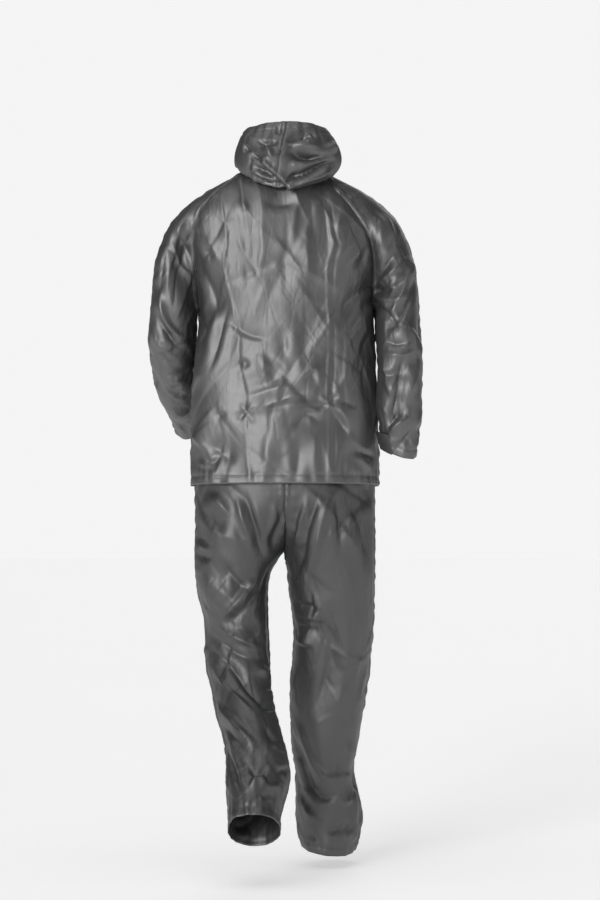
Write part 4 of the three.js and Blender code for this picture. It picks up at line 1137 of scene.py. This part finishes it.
def nylon(name, gloss, rough):
    """The shell cloth: how much its face shines, and how softly."""
    f = Finish(name, IOR=COATING_IOR, Specular_IOR_Level=gloss)
    seams, hems, along = f.attribute("seam"), f.attribute("hem"), f.attribute("along")
    rows = stitch_row(f, hems, HEM, along)
    for at in SEAM_ROWS:
        rows = rows + stitch_row(f, seams, at, along)
    cloudy, fine = f.noise(CLOUDS, 3.0), f.noise(GRAIN, 4.0)
    cut = f.node("UVMap", {"uv_map": "cut"})
    weave = {"Vector": cut, "Scale": 1 / THREAD / 6}
    threads = f.node("TexWave", {"wave_type": "BANDS", "bands_direction": "X"}, weave)
    across = f.node("TexWave", {"wave_type": "BANDS", "bands_direction": "Y"}, weave)
    shades = (1 - SHADE, 1 + SHADE, THREAD_SHADE)
    dark, light, thread_colour = ((*[c * share for c in TONE], 1) for share in shades)
    colour = f.blend((cloudy * 1.6 - 0.3).clipped(), dark, light)
    f.feed(f.surface, {
        "Base Color": f.blend((rows * 0.8).clipped(), colour, thread_colour),
        "Roughness": (cloudy * 0.08 + fine * 0.06 + rough + rows * 0.3).clipped(),
    })
    drape = f.node("Mapping", {}, {"Vector": f.place(), "Rotation": (0.15, 0.25, 0.1), "Scale": (1, 1, 0.3)})
    spread = f.node("TexNoise", {}, {"Vector": drape, "Scale": 9.0, "Detail": 3.0}, output="Color")
    stray = {0: spread, 1: (STRAY, STRAY, STRAY), 2: drape}
    strayed = f.node("VectorMath", {"operation": "MULTIPLY_ADD"}, stray)
    often, seldom = (f.noise(5.0) * 3 - 1).clipped(), (f.noise(4.0, 1.0) * 4 - 1.9).clipped()
    creases = crease_net(f, LARGE_NET, strayed) * seldom + crease_net(f, SMALL_NET, strayed) * often
    for lean, high, start in STREAKS:
        creases = creases + streaks(f, lean, start) * high
    f.raise_surface((threads + across) * THREAD_HIGH + fine * GRAIN_HIGH + creases - rows * STITCH_DEEP)
    return f.material


shell = nylon("satin nylon of the jacket", gloss=0.74, rough=0.44)
trouser_shell = nylon("satin nylon of the trousers", gloss=0.50, rough=0.44)
print("two cloths, with stitches every", STITCH, "m")

# %% [markdown]
# The tape is a matt black twill with ribs across it, the teeth are moulded plastic, and the slider and
# its pull are zinc with a dark, slightly worn lacquer that has rubbed bright in small spots.
# %%
def twill():
    """The zip tape."""
    f = Finish("zip tape", Specular_IOR_Level=0.3)
    ribs = f.node("TexWave", {"bands_direction": "DIAGONAL"}, {"Vector": f.place(), "Scale": 300.0})
    wear = f.noise(60.0)
    f.feed(f.surface, {
        "Base Color": f.blend(wear, (0.024, 0.025, 0.027, 1), (0.04, 0.041, 0.044, 1)),
        "Roughness": wear * 0.1 + 0.75,
    })
    f.raise_surface(ribs * 0.00008)
    return f.material


def plastic():
    """The moulded teeth."""
    f = Finish("moulded teeth", Specular_IOR_Level=0.5)
    mottle = f.noise(400.0)
    f.feed(f.surface, {
        "Base Color": f.blend(mottle, (0.03, 0.031, 0.033, 1), (0.045, 0.046, 0.05, 1)),
        "Roughness": mottle * 0.1 + 0.38,
    })
    f.raise_surface(mottle * 0.00003)
    return f.material


def lacquered_zinc():
    """The slider and pull."""
    f = Finish("lacquered zinc")
    rubbed = (f.noise(220.0, 4.0) * 6 - 3.9).clipped()
    f.feed(f.surface, {
        "Base Color": f.blend(rubbed, (0.06, 0.062, 0.068, 1), (0.5, 0.49, 0.48, 1)),
        "Metallic": rubbed * 0.5 + 0.5,
        "Roughness": f.noise(90.0) * 0.15 + 0.28,
    })
    f.raise_surface(f.noise(500.0) * 0.00002)
    return f.material


tape, moulded, zinc = twill(), plastic(), lacquered_zinc()
print("trims have", len(bpy.data.materials), "materials beside them")

# %% [markdown]
# Every piece now gets its finish, rides on the suit and stands for its solid. The table lists the flat
# size that each sheet was cut to: the width and length of the cloth it takes, and the area of the cut.
# The loop reads each sheet's row but does nothing with it.
# %%
CUTS = {
    "back": ((0.60, 0.76), 0.36),
    "front_left": ((0.32, 0.75), 0.18),
    "front_right": ((0.32, 0.75), 0.18),
    "raglan_left_back": ((0.25, 0.72), 0.125),
    "raglan_left_front": ((0.25, 0.72), 0.12),
    "raglan_right_back": ((0.25, 0.72), 0.12),
    "raglan_right_front": ((0.25, 0.72), 0.12),
    "hood_half_left": ((0.26, 0.36), 0.05),
    "hood_half_right": ((0.26, 0.36), 0.06),
    "leg_left_back": ((0.38, 1.02), 0.275),
    "leg_left_front": ((0.36, 1.02), 0.29),
    "leg_right_back": ((0.38, 1.02), 0.305),
    "leg_right_front": ((0.36, 1.02), 0.295),
    "waist_casing": ((1.12, 0.04), 0.04),
    "tape_left": ((0.012, 0.70), 0.0075),
    "tape_right": ((0.012, 0.70), 0.0075),
}
for name, piece in cloth.items():
    if name.startswith("tape"):
        piece.data.materials.append(tape)
    else:
        piece.data.materials.append(trouser_shell if name.startswith(("leg", "waist")) else shell)
    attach(piece, "suit")
    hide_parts(PANELS[name][0])
    size, area = CUTS[name]
print(len(cloth), "sheets declared")

# %%
for side in ("left", "right"):
    tabs[side].data.materials.append(shell)
    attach(tabs[side], "suit")
    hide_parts("cuff_tab_" + side)
    teeth[side].data.materials.append(moulded)
    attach(teeth[side], "suit")
for node in ("zip_slider", "zip_pull"):
    for slot in nodes[node].material_slots:
        slot.material = zinc
print("tabs, teeth, slider and pull are finished")

# %% [markdown]
# The studio is a plain pale floor under an even white surround. Satin cloth shows what it reflects, so
# the surround gives little light and four soft lamps give the rest. The key lamp stands to the left of
# the camera, a weak one on the right, a wide one overhead, and one lights the hidden front. The floor
# glows a little, so that it meets the background without a line. The camera stands level behind the suit.
# %%
FLOOR = -1.55
LENS, FULL_SENSOR = 127, 36
bpy.ops.object.select_all(action="DESELECT")
bpy.ops.mesh.primitive_plane_add(size=40, location=(0, 0, FLOOR))
floor = bpy.context.view_layer.objects.active
floor.name = "floor"
paint = Finish("pale floor", Roughness=0.9, Emission_Color=(1, 1, 1, 1), Emission_Strength=0.44)
patches = paint.noise(0.8)
paint.feed(paint.surface, {"Base Color": paint.blend(patches, (0.77, 0.77, 0.77, 1), (0.79, 0.79, 0.79, 1))})
floor.data.materials.append(paint.material)

SURROUND_LIGHT, SURROUND_SEEN = 0.06, 0.91
scene = bpy.context.scene
scene.view_settings.view_transform = "Standard"
world = bpy.data.worlds.new("surround")
world.use_nodes = True
glow = world.node_tree.nodes["Background"]
glow.inputs["Color"].default_value = (1, 1, 1, 1)
rays = world.node_tree.nodes.new("ShaderNodeLightPath")
strength = world.node_tree.nodes.new("ShaderNodeMapRange")
strength.inputs["To Min"].default_value = SURROUND_LIGHT
strength.inputs["To Max"].default_value = SURROUND_SEEN
world.node_tree.links.new(rays.outputs["Is Camera Ray"], strength.inputs["Value"])
world.node_tree.links.new(strength.outputs["Result"], glow.inputs["Strength"])
scene.world = world

# The way to each lamp from the suit, the angle that it fills in degrees, and its strength
LAMPS = {
    "key lamp": ((0.42, 0.88, 0.20), 28, 2.15),
    "side lamp": ((-0.93, 0.30, 0.20), 24, 0.22),
    "top lamp": ((0.10, 0.20, 0.97), 60, 0.9),
    "front lamp": ((-0.20, -0.92, 0.34), 40, 0.6),
}
for name, (way, angle, strength) in LAMPS.items():
    lamp = bpy.data.lights.new(name, "SUN")
    lamp.energy, lamp.angle = strength, math.radians(angle)
    holder = bpy.data.objects.new(name, lamp)
    holder.location = Vector(way) * CAMERA[1]
    holder.rotation_euler = (-Vector(way)).to_track_quat("-Z", "Y").to_euler()
    scene.collection.objects.link(holder)

lens = bpy.data.cameras.new("camera")
lens.lens, lens.sensor_width = LENS, FULL_SENSOR
camera = bpy.data.objects.new("camera", lens)
camera.location = CAMERA
camera.rotation_euler = (math.pi / 2, 0, math.pi)
scene.collection.objects.link(camera)
scene.camera = camera
print("camera is", CAMERA[1], "m behind the suit")
